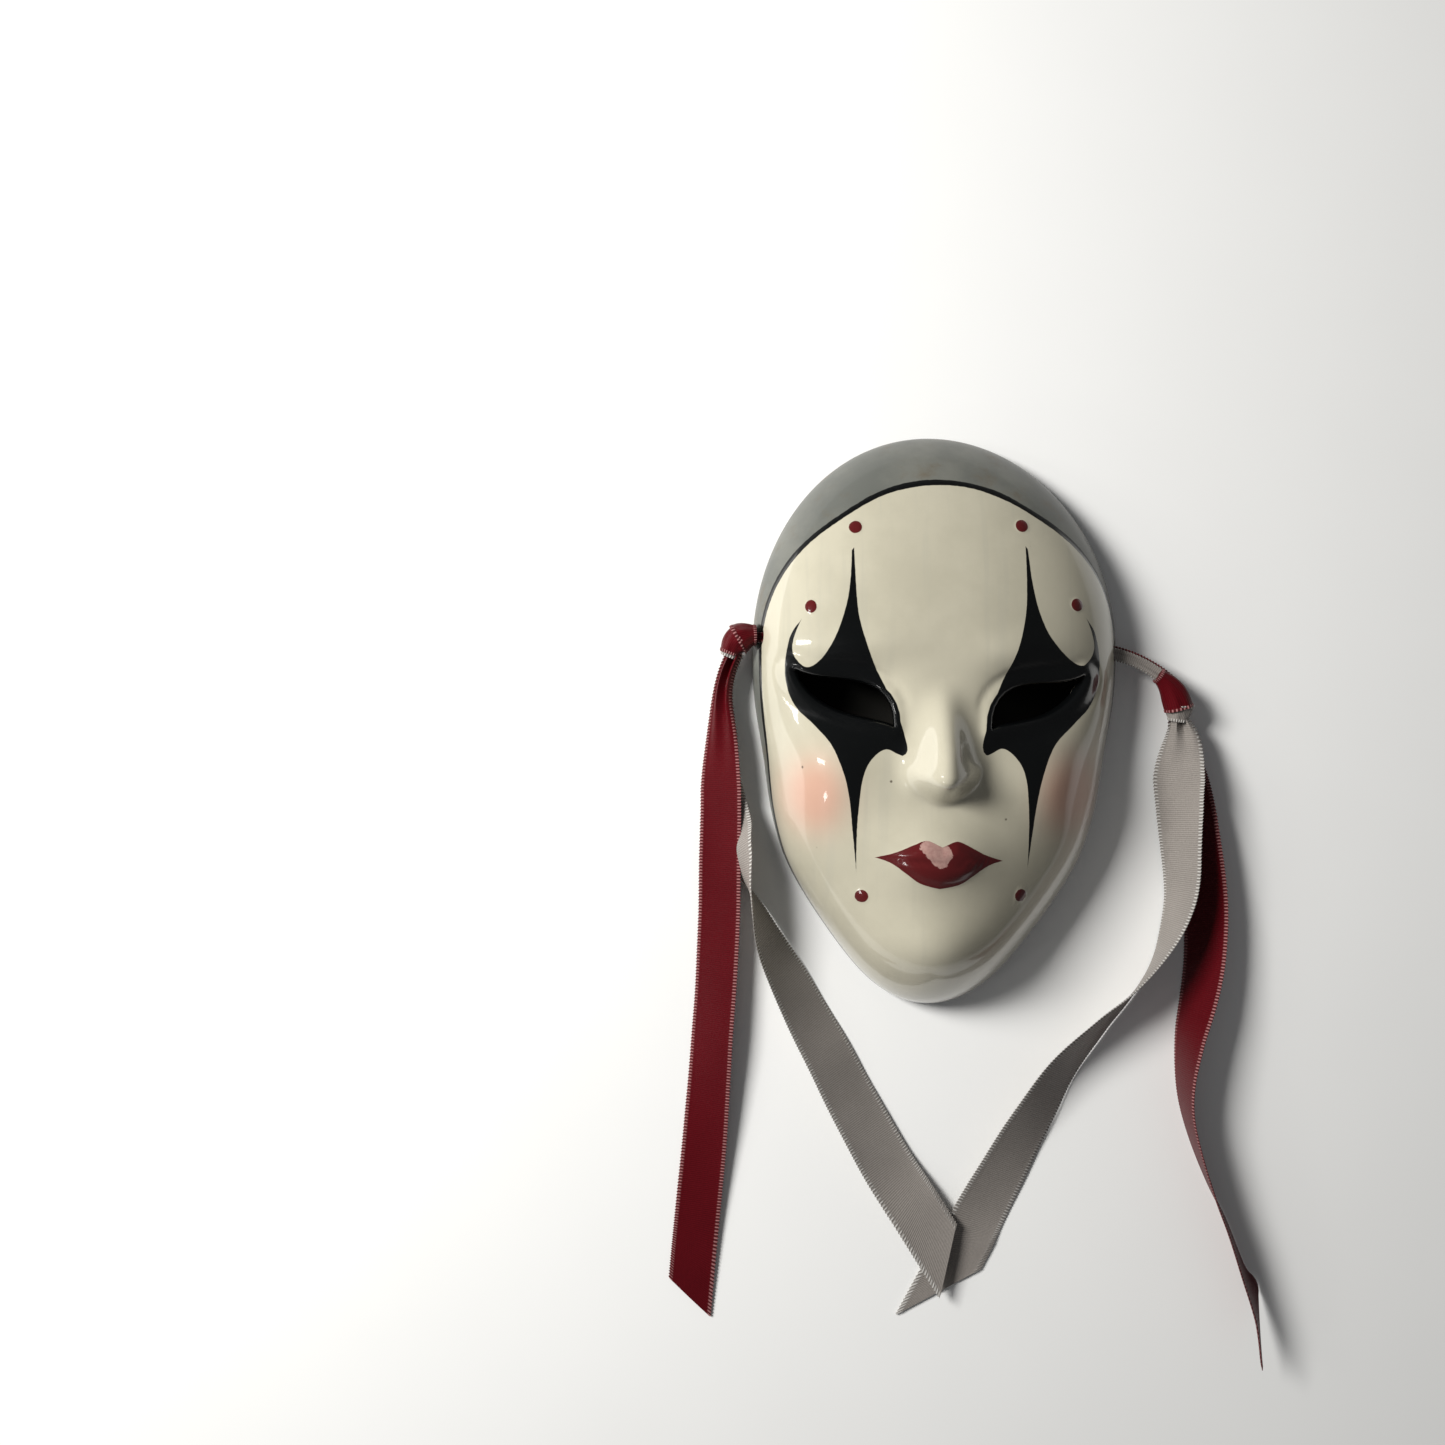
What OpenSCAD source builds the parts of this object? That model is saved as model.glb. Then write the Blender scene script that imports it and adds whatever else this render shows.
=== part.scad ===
// Venetian masquerade mask: a small slip-cast ceramic face that lies on its back rim,
// with a red and a grey satin ribbon knotted through a hole at each ear.
// Origin: centre of the back rim, on the surface the mask lies on.
// +X is the mask's own left-to-right as it is looked at, +Y the forehead, +Z the nose.

/* [Mask body] */
// Widest width of the mask, at the temples
mask_w = 81.6; // [70:0.2:95]
// Height of the mask from chin to crown
mask_h = 127.2; // [115:0.2:145]
// Share of the height that lies above the widest line
crown_share = 0.378; // [0.34:0.002:0.42]
// Height of the plain dome above the back rim
dome_h = 23.5; // [20:0.5:28]
// Thickness of the fired wall
wall = 2.8; // [2:0.1:3.4]
// How much the jaw narrows toward the chin
jaw_taper = 0.11; // [0:0.01:0.16]
// How far the crown and the chin stand left of the middle
tip_lean = 1.4; // [0:0.2:2]
// Shoulder fullness at the crown; less is rounder
full_crown = -0.4; // [-0.5:0.05:0]
// Shoulder fullness at the temples
full_side = 0.45; // [0.2:0.05:0.8]
// Shoulder fullness at the chin; more is squarer
full_chin = 2.2; // [1:0.1:2.6]

/* [Face relief] */
// Sideways place of the face on the body
face_x = -1.2; // [-3:0.2:3]
// Clockwise turn of the face on the body, in degrees
face_turn = 1.4; // [-3:0.2:3]
// Height of the nose tip above the dome
nose_h = 9.5; // [6:0.5:11]
// Where the nose starts, above the rim's centre
nose_top = 9; // [6:0.5:12]
// Length of the nose from its start to its tip
nose_l = 21.5; // [16:0.5:24]
// Half-width of the nose at its tip
nose_w = 5.6; // [5:0.2:8]
// Depth of the eye sockets
socket_d = 4.2; // [2:0.2:6]
// Height of the cheekbones
cheek_h = 2.2; // [0:0.2:4]
// Height of the muzzle that carries the lips
muzzle_h = 3; // [1:0.2:5]
// Height of the chin boss
chin_h = 3.8; // [2:0.2:6]
// Height of the brow ridges
brow_h = 1.2; // [0:0.2:2.4]

/* [Eye openings] */
// Distance from the face's middle to the inner corner of an eye
eye_in = 10.6; // [9:0.2:12]
// Length of an eye opening
eye_l = 20.7; // [18:0.1:23]
// Height of the inner corner
eye_low = -1.6; // [-4:0.2:1]
// Rise from the inner corner to the outer corner
eye_rise = 11.5; // [8:0.5:14]
// Size of the upper lid's bulge
lid_up = 15.5; // [12:0.5:18]
// Size of the lower lid's bulge
lid_low = 13.3; // [10:0.1:16]

/* [Ear holes] */
// Diameter of each ear hole
hole_d = 5; // [4:0.2:6]
// Height of the ear holes above the back rim
hole_z = 5.5; // [4.5:0.1:6.5]
// Place of the left ear hole above the rim's centre
left_hole_y = 18.6; // [16:0.2:22]
// Place of the right ear hole above the rim's centre
right_hole_y = 15.4; // [12:0.2:18]

/* [Ribbons] */
// Width of the red satin ribbon
red_w = 10; // [8:0.5:12]
// Width of the grey satin ribbon
grey_w = 12; // [9:0.5:13]
// Thickness of a ribbon
ribbon_t = 0.5; // [0.4:0.1:0.8]
// Radius of the gathered ribbons where they pass an ear hole
strand_r = 1.5; // [1.2:0.1:1.8]
// Radius of the stopper knot inside each ear hole
stopper_r = 3.1; // [2.8:0.1:3.6]
// Radius of the knot outside each ear hole
knot_r = 2.8; // [2.4:0.1:3.4]

/* [Hidden] */

cream = [0.88, 0.85, 0.74];
red_satin = [0.42, 0.05, 0.08];
grey_satin = [0.56, 0.54, 0.52];

half_w = mask_w / 2;
crown_l = mask_h * crown_share;
chin_l = mask_h - crown_l;
wide_y = mask_h / 2 - crown_l;
spokes = 96;
rings = 24;
inner_scale = 1 - wall / (dome_h + 2.5);
socket_at = [20, 5];
cheek_at = [24, -12];
brow_at = [17, 15];
muzzle_y = -29;
chin_y = -50;
ear_drill = 24;
stopper_x = half_w - 8.2;
strand_in_x = half_w - 6.4;
left_lead = 1.2;
right_lead = 3;
strand_rings = 10;
strand_sides = 12;
left_knot_a = [-43.8, 18.0, 5.4];
left_knot_b = [-45.2, 16.4, 5.2];
right_knot_a = [51.6, 8.6, 5.4];
right_knot_b = [53.6, 3.4, 5.0];
eye_steps = 16;
eye_tall = 60;

function smooth(t) = let (c = min(1, max(0, t))) c * c * (3 - 2 * c);
function bell(t) = exp(-t * t);
function mound(u, v, at, size) = bell((u - at[0]) / size[0]) * bell((v - at[1]) / size[1]);

// Back outline at angle a from the crown: half an ellipse above the widest line, half below it,
// with the lower one narrowed toward the chin and drawn in a little under the temples, and both
// leaning a little to one side as far as they reach from the widest line.
function taper(c) = 1 - jaw_taper * smooth((-c - 0.55) / 0.35) - 0.02 * bell((-c - 0.3) / 0.13);
function outline(a) =
    let (c = cos(a))
    [half_w * sin(a) * taper(c) - tip_lean * c * c, (c > 0 ? crown_l : chin_l) * c];

// Plain dome over the outline: r runs from 0 on top of the face to 1 on the back rim.
function fullness(c) = full_side + (c > 0 ? full_crown - full_side : full_chin - full_side) * c * c;
function dome(a, r) = dome_h * sqrt(max(0, 1 - r * r * (1 - fullness(cos(a)) * (1 - r))));

// Nose: a ridge that rises and widens from between the eyes to its tip, then falls off under it,
// further up the face at the sides than in the middle, with a small wing on each side.
function nose(u, v) =
    let (t = (nose_top - v) / nose_l,
         spread = nose_w * (0.6 + 0.4 * smooth(t)),
         rise = pow(sin(90 * min(1, max(0, t))), 1.7),
         fall = smooth((t - 1) * 3.6 + 0.35 * pow(u / nose_w, 2)),
         wings = 0.12 * mound(abs(u), v, [nose_w, nose_top - nose_l], [2.6, 3]))
    nose_h * (rise * (1 - fall) * bell(u / spread) + wings);

// All the relief of the face, at u across and v up from the middle of the back rim.
function relief(u, v) =
    nose(u, v)
    - socket_d * mound(abs(u), v, socket_at, [9, 6.5])
    + cheek_h * mound(abs(u), v, cheek_at, [9, 9])
    + brow_h * mound(abs(u), v, brow_at, [9, 4])
    + muzzle_h * mound(u, v, [0, muzzle_y], [11, 7])
    + chin_h * mound(u, v, [0, chin_y], [12, 8]);

// Place on the face of a point over the rim: the face has its own middle and a slight turn.
function face_u(x, y) = (x - face_x) * cos(face_turn) - y * sin(face_turn);
function face_v(x, y) = (x - face_x) * sin(face_turn) + y * cos(face_turn);

function skin_point(a, r) =
    let (p = r * outline(a), x = p[0], y = p[1] + wide_y, fade = 1 - pow(r, 8))
    [x, y, dome(a, r) + fade * relief(face_u(x, y), face_v(x, y))];

// The inside is the outside drawn in by the wall toward the middle of the back.
function lining_point(a, r) =
    let (p = skin_point(a, r), o = outline(a), inset = 1 - wall / norm(o))
    [p[0] * inset, wide_y + (p[1] - wide_y) * inset, p[2] * inner_scale];

function ring_r(i) = sin(90 * i / rings);

// Two skins, each a fan at its pole and bands out to the rim, joined by the flat back rim.
module shell_blank() {
    n = spokes;
    outer = [for (i = [1:rings]) for (k = [0:n - 1]) skin_point(360 * k / n, ring_r(i))];
    inner = [for (i = [1:rings]) for (k = [0:n - 1]) lining_point(360 * k / n, ring_r(i))];
    base = n * rings;
    poles = [skin_point(0, 0), lining_point(0, 0)];
    top = 2 * base;
    function nxt(k) = (k + 1) % n;
    polyhedron(
        points = concat(outer, inner, poles),
        faces = concat(
            [for (k = [0:n - 1]) [top, k, nxt(k)]],
            [for (k = [0:n - 1]) [top + 1, base + nxt(k), base + k]],
            [for (i = [0:rings - 2]) for (k = [0:n - 1])
                each [[i * n + k, (i + 1) * n + k, (i + 1) * n + nxt(k)],
                      [i * n + k, (i + 1) * n + nxt(k), i * n + nxt(k)]]],
            [for (i = [0:rings - 2]) for (k = [0:n - 1])
                each [[base + i * n + k, base + (i + 1) * n + nxt(k), base + (i + 1) * n + k],
                      [base + i * n + k, base + i * n + nxt(k), base + (i + 1) * n + nxt(k)]]],
            [for (k = [0:n - 1])
                each [[base - n + k, 2 * base - n + k, 2 * base - n + nxt(k)],
                      [base - n + k, 2 * base - n + nxt(k), base - n + nxt(k)]]]));
}

// Edge of an eye opening at t along it; the upper lid bulges near the nose, the lower one outside.
function lid(t, up) =
    [eye_in + eye_l * t,
     eye_low + eye_rise * t + (up ? lid_up * pow(t, 0.4) * pow(1 - t, 1.6)
                                  : -lid_low * pow(t, 1.4) * pow(1 - t, 0.6))];

module eye_cutter() {
    steps = [for (i = [0:eye_steps]) (1 - cos(180 * i / eye_steps)) / 2];
    linear_extrude(eye_tall)
        polygon(concat([for (t = steps) lid(t, true)],
                       [for (i = [eye_steps - 1:-1:1]) lid(steps[i], false)]));
}

module ear_cutter(side, y) {
    translate([side * half_w, y, hole_z])
        rotate([0, 90, 0]) cylinder(h = ear_drill, d = hole_d, center = true, $fn = 40);
}

module mask_shell() {
    color(cream)
        resize([mask_w, mask_h, 0])
            difference() {
                shell_blank();
                for (side = [-1, 1])
                    translate([face_x, 0, 1]) rotate([0, 0, -face_turn])
                        scale([side, 1, 1]) eye_cutter();
                ear_cutter(-1, left_hole_y);
                ear_cutter(1, right_hole_y);
            }
}

// Ribbon routes: x, y and height of the middle line, tilt of the band about it, and its width
// as a share of the full width where it is gathered into its knot.
left_red_route = [
    [-44.8, 15.6, 5.2, 10, 0.35], [-46.8, 10.5, 4.8, 20, 0.4], [-47.8, 4.5, 4.4, 26, 0.5],
    [-47.8, -4.5, 4.0, 28, 0.78], [-47.8, -15.5, 3.6, 28, 1], [-48.0, -26, 3.4, 26, 1],
    [-48.2, -36, 3.2, 24, 1], [-48.6, -52, 2.8, 24, 1], [-49.4, -65.5, 2.8, 26, 1],
    [-50.5, -80, 2.4, 22, 1], [-51.6, -95, 1.6, 12, 1], [-52.9, -108.5, 1.0, 6, 1],
    [-54.0, -120, 0.6, 3, 1], [-54.9, -130.2, 0.4, 0, 1]];
left_grey_route = [
    [-44.6, 15.4, 4.0, 10, 0.3], [-46.8, 10.5, 3.6, 20, 0.32], [-47.9, 4.5, 3.1, 24, 0.36],
    [-48.2, -4.5, 2.6, 24, 0.46], [-47.3, -15.5, 2.7, 20, 0.76], [-45.9, -24, 3.3, 30, 0.96],
    [-43.6, -31, 5.4, 60, 1], [-41.4, -38, 6.3, 90, 1], [-38.0, -47, 5.9, 116, 1],
    [-33.6, -56, 5.0, 132, 1], [-28.9, -65, 4.0, 142, 1], [-24.0, -74.5, 3.2, 150, 1],
    [-18.6, -85, 2.8, 156, 1], [-11.2, -98.5, 2.7, 163, 1], [-3.6, -110.5, 3.1, 172, 1],
    [3.0, -121, 3.1, 178, 1]];
right_red_route = [
    [54.0, 0.5, 4.0, 10, 0.35], [55.2, -4.4, 3.2, 22, 0.55], [56.4, -13.4, 3.0, 32, 0.95],
    [58.2, -22.4, 3.2, 36, 1], [59.8, -33, 3.4, 38, 1], [60.6, -42.6, 3.6, 42, 1],
    [60.2, -52, 3.9, 48, 1], [58.5, -62.4, 4.5, 58, 1], [56.6, -71, 4.9, 70, 1],
    [55.6, -79, 5.2, 82, 1], [56.0, -87, 5.3, 90, 1], [57.8, -95.5, 5.3, 94, 1],
    [61.2, -104.5, 5.2, 99, 1], [64.8, -113, 5.1, 105, 1], [68.2, -121.5, 5.0, 109, 1],
    [70.8, -129, 4.7, 114, 1], [72.4, -135.5, 4.2, 122, 1]];
right_grey_route = [
    [54.0, 0.5, 5.2, 10, 0.3], [54.8, -4.4, 5.0, 24, 0.65], [54.0, -13.4, 5.0, 44, 1],
    [54.1, -21, 5.3, 54, 1], [54.4, -28, 5.7, 62, 1], [54.5, -34.5, 5.9, 68, 1],
    [53.8, -40.5, 6.2, 76, 1], [51.8, -47, 6.4, 86, 1], [48.2, -54, 6.3, 100, 1],
    [42.6, -61.8, 6.0, 111, 1], [36.8, -67.8, 5.5, 121, 1], [31.2, -74.2, 4.9, 131, 1],
    [26.4, -80.8, 4.2, 140, 1], [21.6, -89, 3.4, 150, 1], [16.2, -99.5, 2.4, 160, 1],
    [10.9, -110, 1.3, 170, 1], [6.2, -119.5, 0.6, 177, 1], [1.2, -129, 0.4, 179, 1]];
rings_per_row = 3;
cut_rows = 2;

// A point of a Catmull-Rom curve through a route's rows, t rows along it.
function row(route, i) = route[min(len(route) - 1, max(0, i))];
function along(route, t) =
    let (i = min(len(route) - 2, floor(t)), s = t - i,
         p0 = row(route, i - 1), p1 = row(route, i), p2 = row(route, i + 1), p3 = row(route, i + 2))
    0.5 * (2 * p1 + s * (p2 - p0) + s * s * (2 * p0 - 5 * p1 + 4 * p2 - p3)
           + s * s * s * (3 * p1 - p0 - 3 * p2 + p3));
function xyz(p) = [p[0], p[1], p[2]];
function heading(route, t) =
    let (d = xyz(along(route, min(len(route) - 1, t + 0.05))) - xyz(along(route, max(0, t - 0.05))))
    d / norm(d);

// Eight corners of the band's section, in half widths and half thicknesses.
band = [[-1, -0.4], [-0.93, -1], [0.93, -1], [1, -0.4], [1, 0.4], [0.93, 1], [-0.93, 1], [-1, 0.4]];

// One section at t. Seen from above and looking down the page, a positive tilt lifts the right
// edge, past 90 degrees the back shows, and shear carries that edge on along the line.
function section(route, t, w, shear) =
    let (p = along(route, t), d = heading(route, t), side = cross([0, 0, 1], d) / norm([d[0], d[1]]),
         up = cross(d, side),
         across = side * cos(p[3]) + up * sin(p[3]), face = cross(across, d))
    [for (c = band) xyz(p) + across * (c[0] * w * p[4] / 2) + face * (c[1] * ribbon_t / 2)
                    + d * (shear * c[0])];

// A solid through sections of equal count, closed by the first and the last one.
module swept(rows) {
    m = len(rows[0]);
    last = len(rows) - 1;
    polyhedron(
        points = [for (r = rows) each r],
        faces = concat(
            [[for (k = [0:m - 1]) k]],
            [[for (k = [m - 1:-1:0]) last * m + k]],
            [for (i = [0:last - 1]) for (k = [0:m - 1])
                each [[i * m + k, (i + 1) * m + k, (i + 1) * m + (k + 1) % m],
                      [i * m + k, (i + 1) * m + (k + 1) % m, i * m + (k + 1) % m]]]));
}

// A flat band carried along a route; slant is how far its cut end leans.
module tail(route, w, slant) {
    last = len(route) - 1;
    count = last * rings_per_row;
    swept([for (i = [0:count]) let (t = last * i / count)
        section(route, t, w, slant * smooth((t - last + cut_rows) / cut_rows))]);
}

// A point and a direction at t along the smooth bend from a past b to c.
function bend(a, b, c, t) = (1 - t) * (1 - t) * a + 2 * t * (1 - t) * b + t * t * c;
function bend_way(a, b, c, t) = let (d = (1 - t) * (b - a) + t * (c - b)) d / norm(d);

// The gathered ribbons: a round bar from inside the ear hole, bent over to the knot.
module strand(side, y, lead, knot) {
    a = [side * strand_in_x, y, hole_z];
    b = [side * (half_w + lead), y, hole_z];
    color(grey_satin)
        swept([for (i = [0:strand_rings])
            let (t = i / strand_rings, d = bend_way(a, b, knot, t),
                 across = cross([0, 0, 1], d) / norm([d[0], d[1]]), face = cross(across, d))
            [for (k = [0:strand_sides - 1])
                bend(a, b, knot, t) + strand_r * (across * cos(360 * k / strand_sides)
                                                  + face * sin(360 * k / strand_sides))]]);
}

// A knot is as long as it is pulled: two round turns of the ribbons drawn into one lump.
module knot_between(a, b, r) {
    hull() {
        translate(a) sphere(r = r, $fn = 32);
        translate(b) sphere(r = r * 0.85, $fn = 32);
    }
}

module left_stopper_knot() {
    color(red_satin) translate([-stopper_x, left_hole_y, hole_z]) sphere(r = stopper_r, $fn = 36);
}
module left_strand() { strand(-1, left_hole_y, left_lead, left_knot_a); }
module left_knot() { color(red_satin) knot_between(left_knot_a, left_knot_b, knot_r); }
module left_red_tail() { color(red_satin) tail(left_red_route, red_w, 4); }
module left_grey_tail() { color(grey_satin) tail(left_grey_route, grey_w, 6); }

module right_stopper_knot() {
    color(red_satin) translate([stopper_x, right_hole_y, hole_z]) sphere(r = stopper_r, $fn = 36);
}
module right_strand() { strand(1, right_hole_y, right_lead, right_knot_a); }
module right_knot() { color(red_satin) knot_between(right_knot_a, right_knot_b, knot_r); }
module right_red_tail() { color(red_satin) tail(right_red_route, red_w, 7); }
module right_grey_tail() { color(grey_satin) tail(right_grey_route, grey_w, 9); }

mask_shell();
left_stopper_knot();
left_strand();
left_knot();
left_red_tail();
left_grey_tail();
right_stopper_knot();
right_strand();
right_knot();
right_red_tail();
right_grey_tail();
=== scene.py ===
"""Venetian masquerade mask: a glazed, hand-painted ceramic face that lies on its back rim, with a
red and a grey satin ribbon knotted through a hole at each ear.

Sizes inside the shape functions are millimetres; MM turns them into metres where a mesh is made.
"""

import bpy
import numpy as np
from bpy.props import FloatProperty, FloatVectorProperty, IntProperty, PointerProperty
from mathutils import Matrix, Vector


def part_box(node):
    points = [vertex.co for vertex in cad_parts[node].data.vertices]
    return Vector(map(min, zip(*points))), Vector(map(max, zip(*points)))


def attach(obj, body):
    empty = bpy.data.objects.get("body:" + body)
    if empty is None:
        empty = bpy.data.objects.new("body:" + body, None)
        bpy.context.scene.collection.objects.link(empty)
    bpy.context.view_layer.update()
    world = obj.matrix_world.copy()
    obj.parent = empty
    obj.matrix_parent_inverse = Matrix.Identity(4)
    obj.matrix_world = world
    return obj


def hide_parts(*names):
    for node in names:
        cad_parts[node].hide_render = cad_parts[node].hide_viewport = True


bl_info = {
    "name": "Venetian masquerade mask",
    "version": (1, 0, 0),
    "blender": (4, 5, 0),
    "location": "View3D > Sidebar > Mask",
    "description": "Makes a glazed ceramic masquerade mask with knotted satin ribbons",
    "category": "Add Mesh",
}

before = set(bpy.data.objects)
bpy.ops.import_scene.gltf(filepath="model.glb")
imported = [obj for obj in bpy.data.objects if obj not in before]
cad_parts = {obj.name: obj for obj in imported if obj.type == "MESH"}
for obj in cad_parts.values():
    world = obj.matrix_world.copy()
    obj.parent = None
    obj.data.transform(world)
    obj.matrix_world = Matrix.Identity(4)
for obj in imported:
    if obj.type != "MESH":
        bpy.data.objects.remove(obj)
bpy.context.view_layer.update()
SHELL_LOW, SHELL_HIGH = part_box("mask_shell")
MM = 0.001
TAU = 2 * np.pi


# ---------------------------------------------------------------- small helpers

def smooth(t):
    """Eases from 0 at t = 0 to 1 at t = 1, and stays there outside."""
    c = np.clip(t, 0, 1)
    return c * c * (3 - 2 * c)


def bell(t):
    """One at t = 0, falling off evenly on both sides."""
    return np.exp(-t * t)


def mound(u, v, at, size):
    """A round hill of height 1 at the place at, with a half-width for each direction."""
    return bell((u - at[0]) / size[0]) * bell((v - at[1]) / size[1])


def unit(vectors):
    """The vectors, each made one long."""
    return vectors / np.linalg.norm(vectors, axis=-1, keepdims=True)


def through(points, steps=8):
    """A smooth line through the points: between two of them it is a Catmull-Rom curve."""
    p = np.asarray(points, float)
    t = np.linspace(0, len(p) - 1, (len(p) - 1) * steps + 1)
    return catmull(p, t)


def catmull(rows, t):
    """The rows' smooth curve at t rows along it; the end rows count twice."""
    last = len(rows) - 1
    i = np.clip(np.floor(t).astype(int), 0, last - 1)
    s = (t - i)[:, None]
    p0, p1 = rows[np.clip(i - 1, 0, last)], rows[i]
    p2, p3 = rows[i + 1], rows[np.clip(i + 2, 0, last)]
    return 0.5 * (2 * p1 + s * (p2 - p0) + s * s * (2 * p0 - 5 * p1 + 4 * p2 - p3)
                  + s ** 3 * (3 * p1 - p0 - 3 * p2 + p3))


def beside(line, u, v, reach=30.0):
    """Signed distance from each (u, v) to a line, positive on the line's left as it runs.
    Both ends are drawn on straight by reach, so two such lines that cross leave a sharp tip."""
    first = line[0] + reach * unit(line[0] - line[1])
    final = line[-1] + reach * unit(line[-1] - line[-2])
    p = np.vstack([first, line, final])
    a, d = p[:-1], np.diff(p, axis=0)
    du, dv = u[:, None] - a[:, 0], v[:, None] - a[:, 1]
    share = np.clip((du * d[:, 0] + dv * d[:, 1]) / (d * d).sum(1), 0, 1)
    gap = np.hypot(du - share * d[:, 0], dv - share * d[:, 1])
    left = (d[:, 0] * dv - d[:, 1] * du) / np.linalg.norm(d, axis=1)
    nearest = (gap - 1e-6 * np.abs(left)).argmin(1)[:, None]
    gap = np.take_along_axis(gap, nearest, 1)[:, 0]
    return gap * np.sign(np.take_along_axis(left, nearest, 1)[:, 0])


def inside(line, u, v):
    """Signed distance to a closed line, positive within it. The line runs clockwise."""
    closed = np.vstack([line, line[:1]])
    a, d = closed[:-1], np.diff(closed, axis=0)
    du, dv = u[:, None] - a[:, 0], v[:, None] - a[:, 1]
    share = np.clip((du * d[:, 0] + dv * d[:, 1]) / np.maximum((d * d).sum(1), 1e-12), 0, 1)
    gap = np.hypot(du - share * d[:, 0], dv - share * d[:, 1]).min(1)
    up = (a[:, 1] <= v[:, None]) != (closed[1:, 1] <= v[:, None])
    fall = np.where(np.abs(d[:, 1]) < 1e-12, 1e-12, d[:, 1])
    crosses = up & (du < dv * d[:, 0] / fall)
    return gap * np.where(crosses.sum(1) % 2 == 1, 1.0, -1.0)


def new_object(name, points, faces, materials, attributes=None, face_material=None, sharp=None):
    """A mesh object at the origin from points in millimetres and an array of faces."""
    mesh = bpy.data.meshes.new(name)
    mesh.from_pydata((np.asarray(points) * MM).tolist(), [], [f.tolist() for f in faces])
    for key, values in (attributes or {}).items():
        kind, field = ("FLOAT_VECTOR", "vector") if values.ndim == 2 else ("FLOAT", "value")
        layer = mesh.attributes.new(key, kind, "POINT")
        layer.data.foreach_set(field, np.ascontiguousarray(values, np.float32).ravel())
    for material in materials:
        mesh.materials.append(material)
    if face_material is not None:
        mesh.polygons.foreach_set("material_index", face_material.astype(np.int32))
    mesh.polygons.foreach_set("use_smooth", np.ones(len(mesh.polygons), bool))
    if sharp is not None:
        mesh.set_sharp_from_angle(angle=sharp)
    mesh.update()
    made = bpy.data.objects.new(name, mesh)
    bpy.context.scene.collection.objects.link(made)
    return made


# ---------------------------------------------------------------- the mask's form

CROWN_SHARE = 0.378
JAW_TAPER = 0.11
TIP_LEAN = 1.4
FULL_CROWN, FULL_SIDE, FULL_CHIN = -0.4, 0.45, 2.2
FACE_X = -1.2
FACE_TURN = np.radians(1.4)
NOSE_TOP, NOSE_L, NOSE_W = 9.0, 21.5, 5.6
EYE_IN, EYE_L, EYE_LOW, EYE_RISE, LID_UP, LID_LOW = 10.6, 20.7, -1.6, 11.5, 15.5, 13.3
HOLE_Z = 5.5
EAR_R, EAR_ROLL = 2.5, 0.5
ROLL_STEPS = 8
LINE_SIDE, LINE_CHIN = 7.2, 2.6
HOLE_Y = {-1: 18.6, 1: 15.4}

# Painted lines of one side, at |u| across from the face's middle and v up: the patch lies between
# its nose side and its outer side, and outside the bay that the brow's curl leaves.
NOSE_SIDE = through([
    (18.3, 46), (18.3, 42), (18.0, 28), (17.3, 21), (15.2, 13.8), (12.3, 7.6), (9.9, 1.9),
    (8.2, -3.8), (7.9, -6.2), (8.7, -7.3), (10.0, -6.9), (12.4, -6.0), (15.2, -8.1),
    (17.0, -11.9), (17.9, -18.9), (18.2, -25.2), (18.2, -31.9)])
OUTER_SIDE = through([
    (18.2, -31.9), (19.0, -24.1), (19.9, -16), (21.3, -10.3), (23.8, -4.9), (27.8, -0.8),
    (31.4, 2.6), (33.4, 6.6), (34.1, 11.4), (33.5, 16.2), (32.5, 19.3), (30.6, 21.8)])
BAY_SIDE = through([
    (18.3, 43), (18.75, 36), (19.2, 30.1), (20.2, 24.4), (22.2, 18.7), (24.7, 14.7), (27.2, 12.4),
    (29.6, 11.6), (31.5, 13.1), (32.5, 15.4), (32.0, 18.5), (30.6, 21.8)])
UPPER_LIP = through([(-0.001, -26.4), (1.0, -25.9), (3.2, -25.1), (5.6, -26.0), (9.4, -27.9),
                     (13.5, -29.2)])
LOWER_LIP = through([(13.5, -29.2), (11.2, -29.8), (9.3, -30.7), (6.6, -32.6), (4.0, -34.3),
                     (-0.001, -35.3)])
WORN_SPOT = through([
    (-5.1, -26.2), (-3.2, -25.0), (-1.3, -25.6), (0.0, -26.2), (1.0, -25.9), (1.9, -27.1),
    (2.0, -28.0), (1.4, -29.2), (1.0, -30.2), (-0.3, -30.6), (-1.5, -30.1), (-3.1, -28.6),
    (-4.1, -27.3), (-5.1, -26.2)], 3)[:-1]
DOTS = [(17.8, 41.6), (28.4, 24.6), (17.0, -37.4)]
PAINT_TURN = np.radians(-0.3)
BLUSH_AT, BLUSH_SIZE = (27.6, -15.8), (8.0, 9.0)
EYE_EDGE = 1.7


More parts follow.
